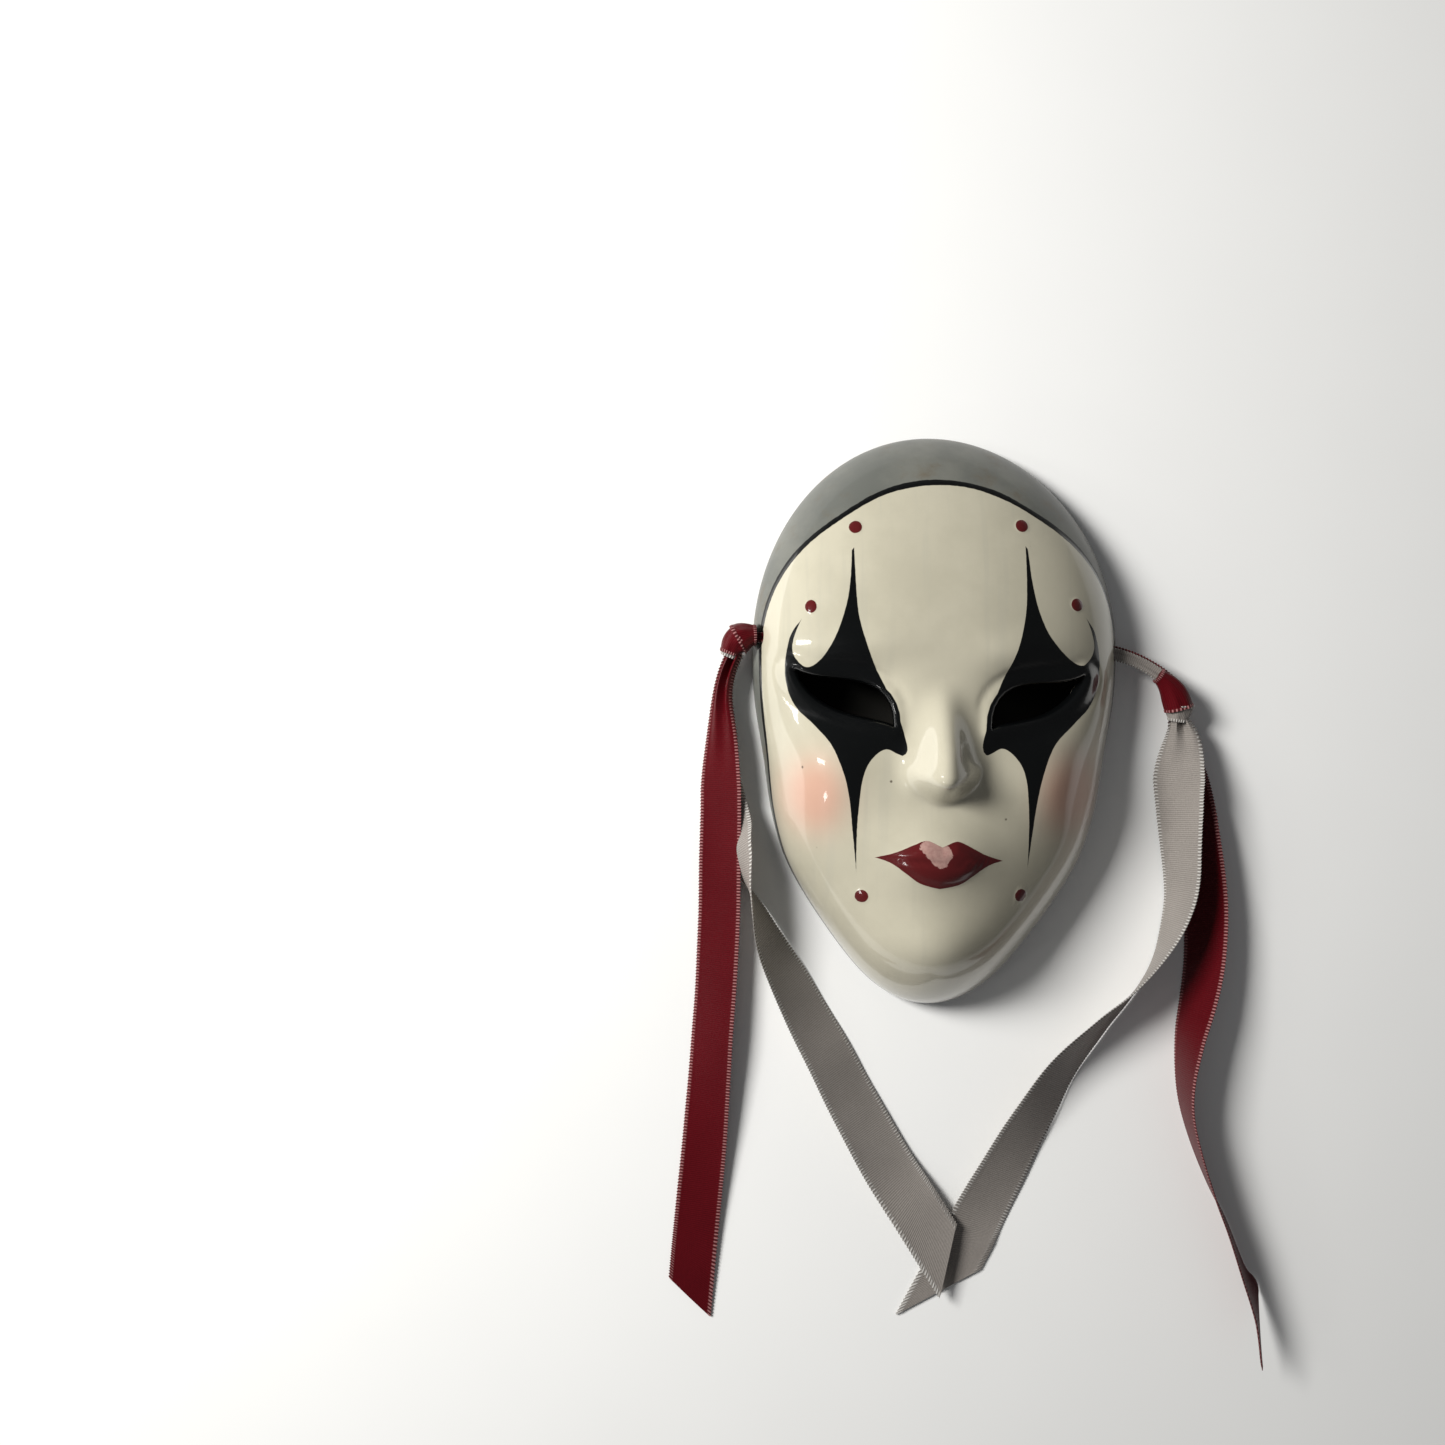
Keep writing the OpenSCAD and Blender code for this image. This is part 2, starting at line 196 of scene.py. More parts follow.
class MaskForm:
    """The mask's body in millimetres: a point is given by its angle a from the crown and by its
    share r of the way from the top of the face to the back rim."""

    def __init__(self, body, paint):
        self.half_w = body.width / MM / 2
        self.crown = body.height / MM * CROWN_SHARE
        self.chin = body.height / MM - self.crown
        self.wide_y = body.height / MM / 2 - self.crown
        self.dome_h = body.dome_height / MM
        self.wall = body.wall / MM
        self.nose_h = body.nose_height / MM
        self.roll = body.eye_roll / MM
        self.dot_r = paint.dot_size / MM / 2

    def outline(self, a):
        """Back outline: half an ellipse above the widest line and half below it, narrowed toward
        the chin, drawn in under the temples, and leaning a little toward its two tips."""
        c = np.cos(a)
        narrow = 1 - JAW_TAPER * smooth((-c - 0.55) / 0.35) - 0.02 * bell((-c - 0.3) / 0.13)
        x = self.half_w * np.sin(a) * narrow - TIP_LEAN * c * c
        return x, np.where(c > 0, self.crown, self.chin) * c

    def dome(self, a, r):
        """Plain dome: a half-round from the middle to the rim, its shoulder filled out by an
        amount that changes round the outline."""
        c = np.cos(a)
        full = FULL_SIDE + (np.where(c > 0, FULL_CROWN, FULL_CHIN) - FULL_SIDE) * c * c
        return self.dome_h * np.sqrt(np.maximum(0, 1 - r * r * (1 - full * (1 - r))))

    def nose(self, u, v):
        """A ridge that rises and widens to its tip, then drops, further up the face at the sides
        than in the middle, with a small wing either side."""
        t = (NOSE_TOP - v) / NOSE_L
        spread = NOSE_W * (0.6 + 0.4 * smooth(t))
        rise = np.sin(np.pi / 2 * np.clip(t, 0, 1)) ** 1.7
        fall = smooth((t - 1) * 3.6 + 0.35 * (u / NOSE_W) ** 2)
        wings = 0.12 * mound(np.abs(u), v, (NOSE_W, NOSE_TOP - NOSE_L), (2.6, 3))
        return self.nose_h * (rise * (1 - fall) * bell(u / spread) + wings)

    def relief(self, u, v):
        """Nose, eye sockets, cheekbones, brows, muzzle and chin, each a smooth hill or hollow."""
        s = np.abs(u)
        return (self.nose(u, v)
                - 4.2 * mound(s, v, (20, 5), (9, 6.5)) + 2.2 * mound(s, v, (24, -12), (9, 9))
                + 1.2 * mound(s, v, (17, 15), (9, 4)) + 3.0 * mound(u, v, (0, -29), (11, 7))
                + 3.8 * mound(u, v, (0, -50), (12, 8)))

    def fine_relief(self, x, y):
        """What the mould and the brush add on the outside only: a raised rim round each eye, a
        crease over the lid, full lips with a dip between them, and the beads of the dots."""
        u, v = self.face_place(x, y)
        s = np.abs(u)
        eye = -inside(eye_line(), s, v)
        lips = np.minimum(*self.lip_fields(u, v))
        dots = self.dot_field(x, y)
        rim = 0.75 * bell((eye - self.roll) / 1.3)
        crease = -0.35 * bell((eye - self.roll - 2.6) / 0.7) * smooth((v - 1) / 5)
        full = 0.9 * smooth(lips / 2.6 + 0.1) - 0.45 * bell((v + 29.6) / 0.7) * smooth(lips / 1.5)
        bead = 0.28 * np.sqrt(np.clip(dots / self.dot_r * 1.9, 0, 1))
        return rim + crease + full + bead

    def face_place(self, x, y, turn=FACE_TURN):
        """Place on the face, across and up, of a point over the rim."""
        dx = x - FACE_X
        return dx * np.cos(turn) - y * np.sin(turn), dx * np.sin(turn) + y * np.cos(turn)

    def paint_place(self, x, y):
        """Place on one painted half. The brush stood straighter on the body than the moulded
        face does, and its outer strokes lie further out on the right."""
        u, v = self.face_place(x, y, PAINT_TURN)
        return np.abs(u - 0.2 - 1.1 * smooth((np.abs(u) - 21) / 8)), v

    def skin(self, a, r, fine=True):
        """The outside: the dome plus the face's relief, which fades out near the rim."""
        ox, oy = self.outline(a)
        x, y = r * ox, r * oy + self.wide_y
        u, v = self.face_place(x, y)
        lift = self.relief(u, v) + (self.fine_relief(x, y) if fine else 0)
        return np.stack([x, y, self.dome(a, r) + (1 - r ** 8) * lift], -1)

    def lining(self, a, r):
        """The inside: the plain outside drawn in by the wall toward the middle of the back."""
        p = self.skin(a, r, fine=False)
        inset = 1 - self.wall / np.hypot(*self.outline(a))
        return np.stack([p[:, 0] * inset, self.wide_y + (p[:, 1] - self.wide_y) * inset,
                         p[:, 2] * (1 - self.wall / (self.dome_h + 2.5))], -1)

    def clear_of_openings(self, a, r):
        """Distance outside the nearest opening's rolled edge: the two eyes and the ear holes."""
        p = self.skin(a, r, fine=False)
        u, v = self.face_place(p[:, 0], p[:, 1])
        clear = -inside(eye_line(), np.abs(u), v) - self.roll
        for side, y in HOLE_Y.items():
            hole = np.hypot(p[:, 1] - y, p[:, 2] - HOLE_Z) - EAR_R - EAR_ROLL
            clear = np.minimum(clear, np.where(p[:, 0] * side > 0, hole, np.inf))
        return clear

    def lip_fields(self, u, v):
        """Distances inside the upper and the lower edge of the lips."""
        s = np.abs(u)
        return -beside(UPPER_LIP, s, v, 12), -beside(LOWER_LIP, s, v, 12)

    def dot_field(self, x, y):
        """Distance inside the nearest painted dot."""
        s, v = self.paint_place(x, y)
        return self.dot_r - np.min([np.hypot(s - at[0], v - at[1]) for at in DOTS], axis=0)


def eye_line(steps=16):
    """Edge of an eye opening, clockwise: the upper lid bulges near the nose, the lower outside."""
    t = (1 - np.cos(np.pi * np.arange(steps + 1) / steps)) / 2
    base = EYE_LOW + EYE_RISE * t
    upper = base + LID_UP * t ** 0.4 * (1 - t) ** 1.6
    lower = base - LID_LOW * t ** 1.4 * (1 - t) ** 0.6
    x = EYE_IN + EYE_L * t
    return np.vstack([np.stack([x, upper], 1), np.stack([x, lower], 1)[-2:0:-1]])


def polar_faces(spokes, rings):
    """Triangles of a fan at the pole (point 0) and bands out to the rim, seen from above."""
    k = np.arange(spokes)
    after = (k + 1) % spokes
    fan = np.stack([np.zeros_like(k), 1 + after, 1 + k], 1)
    i = np.arange(rings - 1)[:, None] * spokes + 1
    p, q, t, s = i + k, i + after, i + spokes + k, i + spokes + after
    bands = np.stack([np.stack([p, q, s], -1), np.stack([p, s, t], -1)], 2).reshape(-1, 3)
    return np.vstack([fan, bands])


def cut(faces, clear):
    """Cuts triangles along clear = 0 and keeps the side above it. Returns the faces, the edges
    (kept end, cut end) that carry new points, and the new edge's pieces (from, to)."""
    kept = clear[faces] > 0
    count = kept.sum(1)

    def turned(rows, first):
        return rows[np.arange(len(rows))[:, None], (first[:, None] + np.arange(3)) % 3]

    one = turned(faces[count == 1], kept[count == 1].argmax(1))
    two = turned(faces[count == 2], (~kept[count == 2]).argmax(1))
    ends = np.vstack([one[:, [0, 1]], one[:, [0, 2]], two[:, [1, 0]], two[:, [2, 0]]])
    ends, where = np.unique(ends, axis=0, return_inverse=True)
    where = where.ravel() + len(clear)
    a, b, c, d = np.split(where, np.cumsum([len(one), len(one), len(two)]))
    faces = np.vstack([faces[count == 3], np.stack([one[:, 0], a, b], 1),
                       np.stack([c, two[:, 1], two[:, 2]], 1), np.stack([c, two[:, 2], d], 1)])
    rim = np.vstack([np.stack([a, b], 1), np.stack([d, c], 1)])
    return faces, ends, rim


def shell_mesh(form, spokes, rings, line_top):
    """Skin and lining on one polar grid, cut at the openings' rolled edges. A half-round roll of
    ROLL_STEPS bands joins them in each opening, and a flat foot joins them at the back rim."""
    a = TAU * np.arange(spokes) / spokes
    r = np.sin(np.pi / 2 * np.arange(1, rings + 1) / rings)
    a = np.concatenate([[0.0], np.tile(a, rings)])
    r = np.concatenate([[0.0], np.repeat(r, spokes)])
    meridian = hood_field(form, a, r, spokes, rings, line_top)

    clear = form.clear_of_openings(a, r)
    faces, ends, rim = cut(polar_faces(spokes, rings), clear)
    near, far = ends[:, 0], ends[:, 1]
    low, high = np.zeros(len(ends)), np.ones(len(ends))
    for _ in range(12):
        share = (low + high) / 2
        now = form.clear_of_openings(a[near] + share * (a[far] - a[near]),
                                     r[near] + share * (r[far] - r[near]))
        low, high = np.where(now > 0, share, low), np.where(now > 0, high, share)
    a = np.append(a, a[near] + share * (a[far] - a[near]))
    r = np.append(r, r[near] + share * (r[far] - r[near]))
    meridian = np.append(meridian, meridian[near] + share * (meridian[far] - meridian[near]))

    skin, lining = form.skin(a, r), form.lining(a, r)
    n, fresh = len(a), len(ends)
    edge = np.arange(n - fresh, n)
    probe = 0.05
    inward = []
    for axis in (0, 1):
        step = np.zeros((fresh, 2))
        step[:, axis] = probe
        inward.append(form_gap(form, skin[edge] + np.c_[step, np.zeros(fresh)])
                      - form_gap(form, skin[edge] - np.c_[step, np.zeros(fresh)]))
    flat = -unit(np.stack([inward[0], inward[1]], 1) + 1e-9)
    ear = np.abs(skin[edge, 0]) > form.half_w * 0.85
    hole_y = np.where(skin[edge, 0] > 0, HOLE_Y[1], HOLE_Y[-1])
    toward = np.where(ear[:, None],
                      np.stack([0 * hole_y, hole_y - skin[edge, 1], HOLE_Z - skin[edge, 2]], 1),
                      np.c_[flat, np.zeros(fresh)])
    half = (skin[edge] - lining[edge]) / 2
    middle = (skin[edge] + lining[edge]) / 2
    along = unit(half)
    toward = unit(toward - (toward * along).sum(1, keepdims=True) * along)
    depth = np.where(ear, EAR_ROLL, form.roll)[:, None]
    layers = [edge]
    extra = []
    for step in range(1, ROLL_STEPS):
        turn = np.pi * step / ROLL_STEPS
        extra.append(middle + half * np.cos(turn) + toward * depth * np.sin(turn))
        layers.append(2 * n + (step - 1) * fresh + np.arange(fresh))
    layers.append(n + edge)
    start, end = rim[:, 0] - (n - fresh), rim[:, 1] - (n - fresh)
    rolls = np.vstack([np.stack([np.r_[upper[end], upper[end]], np.r_[upper[start], lower[start]],
                                 np.r_[lower[start], lower[end]]], 1)
                       for upper, lower in zip(layers, layers[1:])])
    k = (rings - 1) * spokes + 1 + np.arange(spokes)
    after = np.roll(k, -1)
    foot = np.vstack([np.stack([k, after, n + after], 1), np.stack([k, n + after, n + k], 1)])
    points = np.vstack([skin, lining] + extra)
    all_faces = np.vstack([faces, n + faces[:, ::-1], rolls, foot])
    inner = np.concatenate([np.zeros(len(faces)), np.ones(len(faces)),
                            np.repeat(np.arange(ROLL_STEPS) >= ROLL_STEPS * 0.75, 2 * len(rim)),
                            np.ones(len(foot))])
    fields = paint_fields(form, skin[:, 0], skin[:, 1], meridian)
    fields = {key: np.vstack([f, f] + [f[edge]] * (ROLL_STEPS - 1)) for key, f in fields.items()}
    used = np.unique(all_faces)
    renumber = np.zeros(len(points), int)
    renumber[used] = np.arange(len(used))
    return (points[used], renumber[all_faces], {key: f[used] for key, f in fields.items()}, inner)


def form_gap(form, points):
    """Distance outside the nearest eye opening, over the plan."""
    u, v = form.face_place(points[:, 0], points[:, 1])
    return -inside(eye_line(), np.abs(u), v)


def hood_field(form, a, r, spokes, rings, line_top):
    """Distance along each spoke past the black line that frames the face. The line stands at
    line_top on the crown, falls to LINE_SIDE at the temples and LINE_CHIN under the chin."""
    skin = form.skin(a, r, fine=False)
    rows = skin[1:].reshape(rings, spokes, 3)
    steps = np.linalg.norm(np.diff(rows, axis=0), axis=2)
    run = np.vstack([np.zeros(spokes), np.cumsum(steps, 0)])
    c = np.cos(a[1:spokes + 1])
    level = np.where(c > 0, LINE_SIDE + (line_top - LINE_SIDE) * smooth(c / 0.85),
                     LINE_SIDE + (LINE_CHIN - LINE_SIDE) * smooth(-c / 0.7))
    outer = np.arange(rings)[:, None] > rings // 2
    below = (rows[:, :, 2] < level) & outer
    i = below.argmax(0)
    k = np.arange(spokes)
    z0, z1 = rows[i - 1, k, 2], rows[i, k, 2]
    share = (z0 - level) / (z0 - z1)
    at = run[i - 1, k] + share * (run[i, k] - run[i - 1, k])
    return np.concatenate([[-at.mean()], (run - at).ravel()])


def paint_fields(form, x, y, meridian):
    """Three vectors of signed distances, in millimetres and positive within: the black patch's
    three sides; the lips' two edges and the dots; the hood, the blush and the worn spot."""
    s, t = form.paint_place(x, y)
    u, v = form.face_place(x, y)
    nose_side = np.maximum(beside(NOSE_SIDE, s, t), EYE_EDGE + inside(eye_line(), np.abs(u), v))
    patch = np.stack([nose_side, beside(OUTER_SIDE, s, t), -beside(BAY_SIDE, s, t)], 1)
    upper, lower = form.lip_fields(u, v)
    blush = mound(s, t, BLUSH_AT, BLUSH_SIZE)
    return {"patch": patch,
            "lips": np.stack([upper, lower, form.dot_field(x, y)], 1),
            "face": np.stack([meridian, blush, inside(WORN_SPOT, u, v)], 1)}


# ---------------------------------------------------------------- ribbons

# Rows of each tail's route: x, y and height of its middle line, the tilt of the band in degrees,
# and its width as a share of the full width where the knot gathers it.
LEFT_RED_ROUTE = np.array([
    [-44.8, 15.6, 5.2, 10, 0.35], [-46.8, 10.5, 4.8, 20, 0.4], [-47.8, 4.5, 4.4, 26, 0.5],
    [-47.8, -4.5, 4.0, 28, 0.78], [-47.8, -15.5, 3.6, 28, 1], [-48.0, -26, 3.4, 26, 1],
    [-48.2, -36, 3.2, 24, 1], [-48.6, -52, 2.8, 24, 1], [-49.4, -65.5, 2.8, 26, 1],
    [-50.5, -80, 2.4, 22, 1], [-51.6, -95, 1.6, 12, 1], [-52.9, -108.5, 1.0, 6, 1],
    [-54.0, -120, 0.6, 3, 1], [-54.9, -130.2, 0.4, 0, 1]])
LEFT_GREY_ROUTE = np.array([
    [-44.6, 15.4, 4.0, 10, 0.3], [-46.8, 10.5, 3.6, 20, 0.32], [-47.9, 4.5, 3.1, 24, 0.36],
    [-48.2, -4.5, 2.6, 24, 0.46], [-47.3, -15.5, 2.7, 20, 0.76], [-45.9, -24, 3.3, 30, 0.96],
    [-43.6, -31, 5.4, 60, 1], [-41.4, -38, 6.3, 90, 1], [-38.0, -47, 5.9, 116, 1],
    [-33.6, -56, 5.0, 132, 1], [-28.9, -65, 4.0, 142, 1], [-24.0, -74.5, 3.2, 150, 1],
    [-18.6, -85, 2.8, 156, 1], [-11.2, -98.5, 2.7, 163, 1], [-3.6, -110.5, 3.1, 172, 1],
    [3.0, -121, 3.1, 178, 1]])
RIGHT_RED_ROUTE = np.array([
    [54.0, 0.5, 4.0, 10, 0.35], [55.2, -4.4, 3.2, 22, 0.55], [56.4, -13.4, 3.0, 32, 0.95],
    [58.2, -22.4, 3.2, 36, 1], [59.8, -33, 3.4, 38, 1], [60.6, -42.6, 3.6, 42, 1],
    [60.2, -52, 3.9, 48, 1], [58.5, -62.4, 4.5, 58, 1], [56.6, -71, 4.9, 70, 1],
    [55.6, -79, 5.2, 82, 1], [56.0, -87, 5.3, 90, 1], [57.8, -95.5, 5.3, 94, 1],
    [61.2, -104.5, 5.2, 99, 1], [64.8, -113, 5.1, 105, 1], [68.2, -121.5, 5.0, 109, 1],
    [70.8, -129, 4.7, 114, 1], [72.4, -135.5, 4.2, 122, 1]])
RIGHT_GREY_ROUTE = np.array([
    [54.0, 0.5, 5.2, 10, 0.3], [54.8, -4.4, 5.0, 24, 0.65], [54.0, -13.4, 5.0, 44, 1],
    [54.1, -21, 5.3, 54, 1], [54.4, -28, 5.7, 62, 1], [54.5, -34.5, 5.9, 68, 1],
    [53.8, -40.5, 6.2, 76, 1], [51.8, -47, 6.4, 86, 1], [48.2, -54, 6.3, 100, 1],
    [42.6, -61.8, 6.0, 111, 1], [36.8, -67.8, 5.5, 121, 1], [31.2, -74.2, 4.9, 131, 1],
    [26.4, -80.8, 4.2, 140, 1], [21.6, -89, 3.4, 150, 1], [16.2, -99.5, 2.4, 160, 1],
    [10.9, -110, 1.3, 170, 1], [6.2, -119.5, 0.6, 177, 1], [1.2, -129, 0.4, 179, 1]])
CUT_ROWS = 2
PLEATS = 2.0

# Each tail: its route, its cloth, how far the cut end leans (mm), its body and its node
TAILS = {
    "left_red_ribbon": (LEFT_RED_ROUTE, "red", 4, "left_ribbons", "left_red_tail"),
    "left_grey_ribbon": (LEFT_GREY_ROUTE, "grey", 6, "left_ribbons", "left_grey_tail"),
    "right_red_ribbon": (RIGHT_RED_ROUTE, "red", 7, "right_ribbons", "right_red_tail"),
    "right_grey_ribbon": (RIGHT_GREY_ROUTE, "grey", 9, "right_ribbons", "right_grey_tail"),
}


def band_mesh(middle, across, face, half, thick, picot, pitch, pleat, crown, run, lean=None):
    """A flat ribbon carried along a line, closed at both ends. Round its section run the top and
    the underside between two selvedge beads; the beads bulge out by picot every pitch, pleat is
    the height of the folds at each row, and crown how far the middle stands proud of the edges."""
    columns = 17
    s = np.linspace(-1, 1, columns)
    s = np.sign(s) * np.abs(s) ** 0.8
    bead = 1 + 0.7 * smooth((np.abs(s) - 0.86) / 0.08)
    bead[[0, -1]] = 0.45
    s = np.r_[s, s[::-1]]
    height = np.r_[bead, -bead[::-1]] * thick / 2
    edge = smooth((np.abs(s) - 0.84) / 0.1)
    loops = (0.5 + 0.5 * np.cos(TAU * run / pitch)) ** 2
    reach = s * half[:, None] + np.sign(s) * edge * picot * loops[:, None]
    lift = (height + pleat[:, None] * np.sin(PLEATS * np.pi * s + 0.6)
            + crown[:, None] * (1 - s * s))
    points = middle[:, None] + across[:, None] * reach[..., None] + face[:, None] * lift[..., None]
    if lean is not None:
        way = unit(np.cross(face, across))
        points += way[:, None] * (lean[:, None] * s)[..., None]
    rows, m = points.shape[:2]
    i = np.arange(rows - 1)[:, None] * m
    k = np.arange(m)
    after = (k + 1) % m
    sides = np.stack([i + k, i + after, i + m + after, i + m + k], -1).reshape(-1, 4)
    j = np.arange(columns - 1)
    cap = np.stack([j, m - 1 - j, m - 2 - j, j + 1], 1)
    faces = np.vstack([sides, cap, (rows - 1) * m + cap[:, ::-1]])
    cloth = np.stack([np.broadcast_to(s * half.max(), (rows, m)),
                      np.broadcast_to(run[:, None], (rows, m)),
                      np.broadcast_to(edge, (rows, m))], -1)
    return points.reshape(-1, 3), faces, cloth.reshape(-1, 3)


def heading_of(route, t):
    """Direction of a route's middle line at t rows along it."""
    last = len(route) - 1
    return unit(catmull(route[:, :3], np.minimum(last, t + 0.05))
                - catmull(route[:, :3], np.maximum(0, t - 0.05)))


def tail_frame(route, pitch, per_pitch):
    """Even steps along a route: the row number, and the length run, at each of them."""
    last = len(route) - 1
    t = np.linspace(0, last, 4000)
    run = run_along(catmull(route[:, :3], t))
    count = int(run[-1] / pitch * per_pitch)
    even = np.linspace(0, run[-1], count)
    return np.interp(even, run, t), even


def tail_mesh(route, width, cloth, slant):
    """One free ribbon end. side is level and square to the line, up is square to both, and the
    band is turned from side toward up by the row's tilt, as the cad solid is. Where the knot
    gathers it, the cloth that no longer fits stands up in pleats."""
    t, run = tail_frame(route, cloth.picot_pitch / MM, 8)
    rows = catmull(route, t)
    d = heading_of(route, t)
    side = unit(np.cross([0, 0, 1.0], d))
    up = np.cross(d, side)
    tilt = np.radians(rows[:, 3:4])
    across = side * np.cos(tilt) + up * np.sin(tilt)
    face = np.cross(across, d)
    share = np.clip(rows[:, 4], 0.2, 1)
    half = width / 2 * share
    pleat = 1.8 * (1 - share) ** 1.4
    wave = 0.16 * np.sin(run / 7.3) + 0.1 * np.sin(run / 3.1 + 1.7)
    middle = rows[:, :3] + face * (wave * smooth(rows[:, 2:3] / 3 - 0.2)[:, 0])[:, None]
    last = len(route) - 1
    lean = slant * smooth((t - last + CUT_ROWS) / CUT_ROWS)
    crown = 0.22 * np.sin(run / 11.0 + width)
    return band_mesh(middle, across, face, half, cloth.thickness / MM, cloth.picot / MM,
                     cloth.picot_pitch / MM, pleat, crown, run, lean)


def make_tails(cloth, materials):
    """The four free ribbon ends, each put on its body in place of its CAD node."""
    for name, (route, colour, slant, body, node) in TAILS.items():
        width = (cloth.red_width if colour == "red" else cloth.grey_width) / MM
        points, faces, weave = tail_mesh(route, width, cloth, slant)
        made = new_object(name, points, faces, [materials[colour]], {"cloth": weave}, sharp=0.9)
        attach(made, body)
        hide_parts(node)


# ---------------------------------------------------------------- knots and strands

def bend(a, b, c, t):
    """A smooth bend from a past b to c at the shares t: its middle line, the direction it runs in,
    the level direction square to that, and the one square to both."""
    middle = (1 - t) ** 2 * a + 2 * t * (1 - t) * b + t * t * c
    d = unit(np.gradient(middle, axis=0))
    side = unit(np.cross([0, 0, 1.0], d))
    return middle, d, side, np.cross(d, side)


def run_along(line):
    """Length run along a line at each of its points."""
    return np.r_[0, np.cumsum(np.linalg.norm(np.diff(line, axis=0), axis=1))]


def sleeve_mesh(a, b, c, radii, cloth, folds=0.05):
    """A ribbon pulled once round a knot: a sleeve on the smooth bend from a past b to c. Its
    radius goes from the first to the second of radii with a little belly, shallow folds run
    aslant round it, a selvedge ends it either way, and both ends are closed."""
    rows, around, close = 44, 160, 4
    t = np.linspace(0, 1, rows)[:, None]
    middle, _, side, up = bend(a, b, c, t)
    run = run_along(middle)
    th = TAU * np.arange(around) / around
    t = t[:, 0]
    size = radii[0] + (radii[1] - radii[0]) * smooth(t * 0.8 + 0.1) + 0.25 * np.sin(np.pi * t)
    edge = smooth((0.75 - np.minimum(run, run[-1] - run)) / 0.4)
    beads = (0.5 + 0.5 * np.cos(TAU * th * size.mean() / (cloth.picot_pitch / MM))) ** 2
    fold = (np.sin(2 * th[None] + 2.4 * t[:, None]) + 0.6 * np.sin(5 * th[None] - 3.1 * t[:, None])
            + 0.3 * np.sin(9 * th[None] + 4.0 * t[:, None]))
    size = size[:, None] * (1 + folds * fold) + edge[:, None] * (0.10 + 0.08 * beads[None])
    ring = np.cos(th)[None, :, None] * side[:, None] + np.sin(th)[None, :, None] * up[:, None]
    body = middle[:, None] + size[..., None] * ring
    layers = [middle[0] + (body[0] - middle[0]) * k / close for k in range(1, close)]
    final = [middle[-1] + (body[-1] - middle[-1]) * k / close for k in range(close - 1, 0, -1)]
    rings = np.concatenate([np.array(layers), body, np.array(final)])
    along = np.r_[np.zeros(close - 1), run, np.full(close - 1, run[-1])]
    mask = np.r_[np.zeros(close - 1), edge, np.zeros(close - 1)]
    n, m = len(rings) * around, np.arange(around)
    after = (m + 1) % around
    i = np.arange(len(rings) - 1)[:, None] * around
    bands = np.stack([i + m, i + after, i + around + after, i + around + m], -1).reshape(-1, 4)
    first = np.stack([np.full(around, n), after, m], 1)
    last = np.stack([n - around + m, n - around + after, np.full(around, n + 1)], 1)
    points = np.vstack([rings.reshape(-1, 3), middle[:1], middle[-1:]])
    weave = np.stack([np.repeat(along - run[-1] / 2, around),
                      np.tile(th * size.mean(), len(rings)), np.repeat(mask, around)], 1)
    return points, list(bands) + list(first) + list(last), np.vstack([weave, [[0, 0, 0]] * 2])


def strand_mesh(a, b, c, offset, half, cloth, twist):
    """A folded ribbon on the smooth bend from a past b to c, set off sideways by offset and
    turned about its own line by twist from end to end."""
    t = np.linspace(0, 1, 90)[:, None]
    middle, d, side, up = bend(a, b, c, t)
    turn = twist[0] + (twist[1] - twist[0]) * t
    across = side * np.cos(turn) + up * np.sin(turn)
    face = np.cross(across, d)
    middle = middle + side * offset[0] + up * offset[1]
    run = run_along(middle)
    shape = half * (1 - 0.12 * np.sin(np.pi * t[:, 0]))
    return band_mesh(middle, across, face, shape, cloth.thickness / MM * 2.2, cloth.picot / MM,
                     cloth.picot_pitch / MM, np.full(len(t), 0.14), np.full(len(t), 0.25), run)


def join_parts(parts):
    """Several meshes as one: points, faces and weave, with the faces renumbered."""
    points, faces, weave, base = [], [], [], 0
    for p, f, w in parts:
        points.append(p)
        faces += [np.asarray(row) + base for row in f]
        weave.append(w)
        base += len(p)
    return np.vstack(points), faces, np.vstack(weave)


# By side, -1 left and 1 right: how far the strand leads past the shell, the place of the knot that
# it ends in, each strand's offset, turn at both ends and half-width, and the knot's sleeves, each
# as its cloth, the three points of its bend and its radius at both ends
KNOTS = {
    -1: dict(side="left", lead=1.2, knot=(-43.8, 18.0, 5.4),
             strands={"red": ((0.0, 0.5), (0.1, 0.3), 1.15), "grey": ((0.0, -0.5), (0.0, 0.2), 1.2)},
             sleeves=[("red", (-40.0, 19.0, 5.6), (-42.4, 19.0, 5.7), (-44.2, 17.9, 5.6), (2.0, 3.3)),
                      ("red", (-43.4, 18.4, 5.4), (-45.2, 17.2, 5.3), (-46.0, 14.9, 5.1), (3.1, 1.9)),
                      ("grey", (-45.4, 15.9, 4.6), (-45.7, 15.2, 4.5), (-46.1, 14.2, 4.4),
                       (2.0, 1.7))]),
    1: dict(side="right", lead=3.0, knot=(51.6, 8.6, 5.4),
            strands={"red": ((0.55, -0.35), (0.0, 0.1), 1.25), "grey": ((-0.1, 0.3), (0.0, -0.1), 1.45)},
            sleeves=[("red", (49.2, 10.0, 5.7), (52.8, 7.6, 5.7), (54.1, 2.6, 5.3), (1.5, 3.1)),
                     ("grey", (54.0, 3.4, 5.1), (54.1, 2.0, 5.0), (53.8, -0.2, 4.8), (3.0, 1.8))]),
}

# The stopper knot's two crossed turns: how far each reaches, its bow and its end radii
STOPPER = [(np.array([2.3, 0.4, 0.0]), np.array([0.0, 0.5, 0.3]), (2.1, 2.3)),
           (np.array([0.3, 2.6, 0.3]), np.array([0.3, 0.0, 0.4]), (1.8, 1.9))]


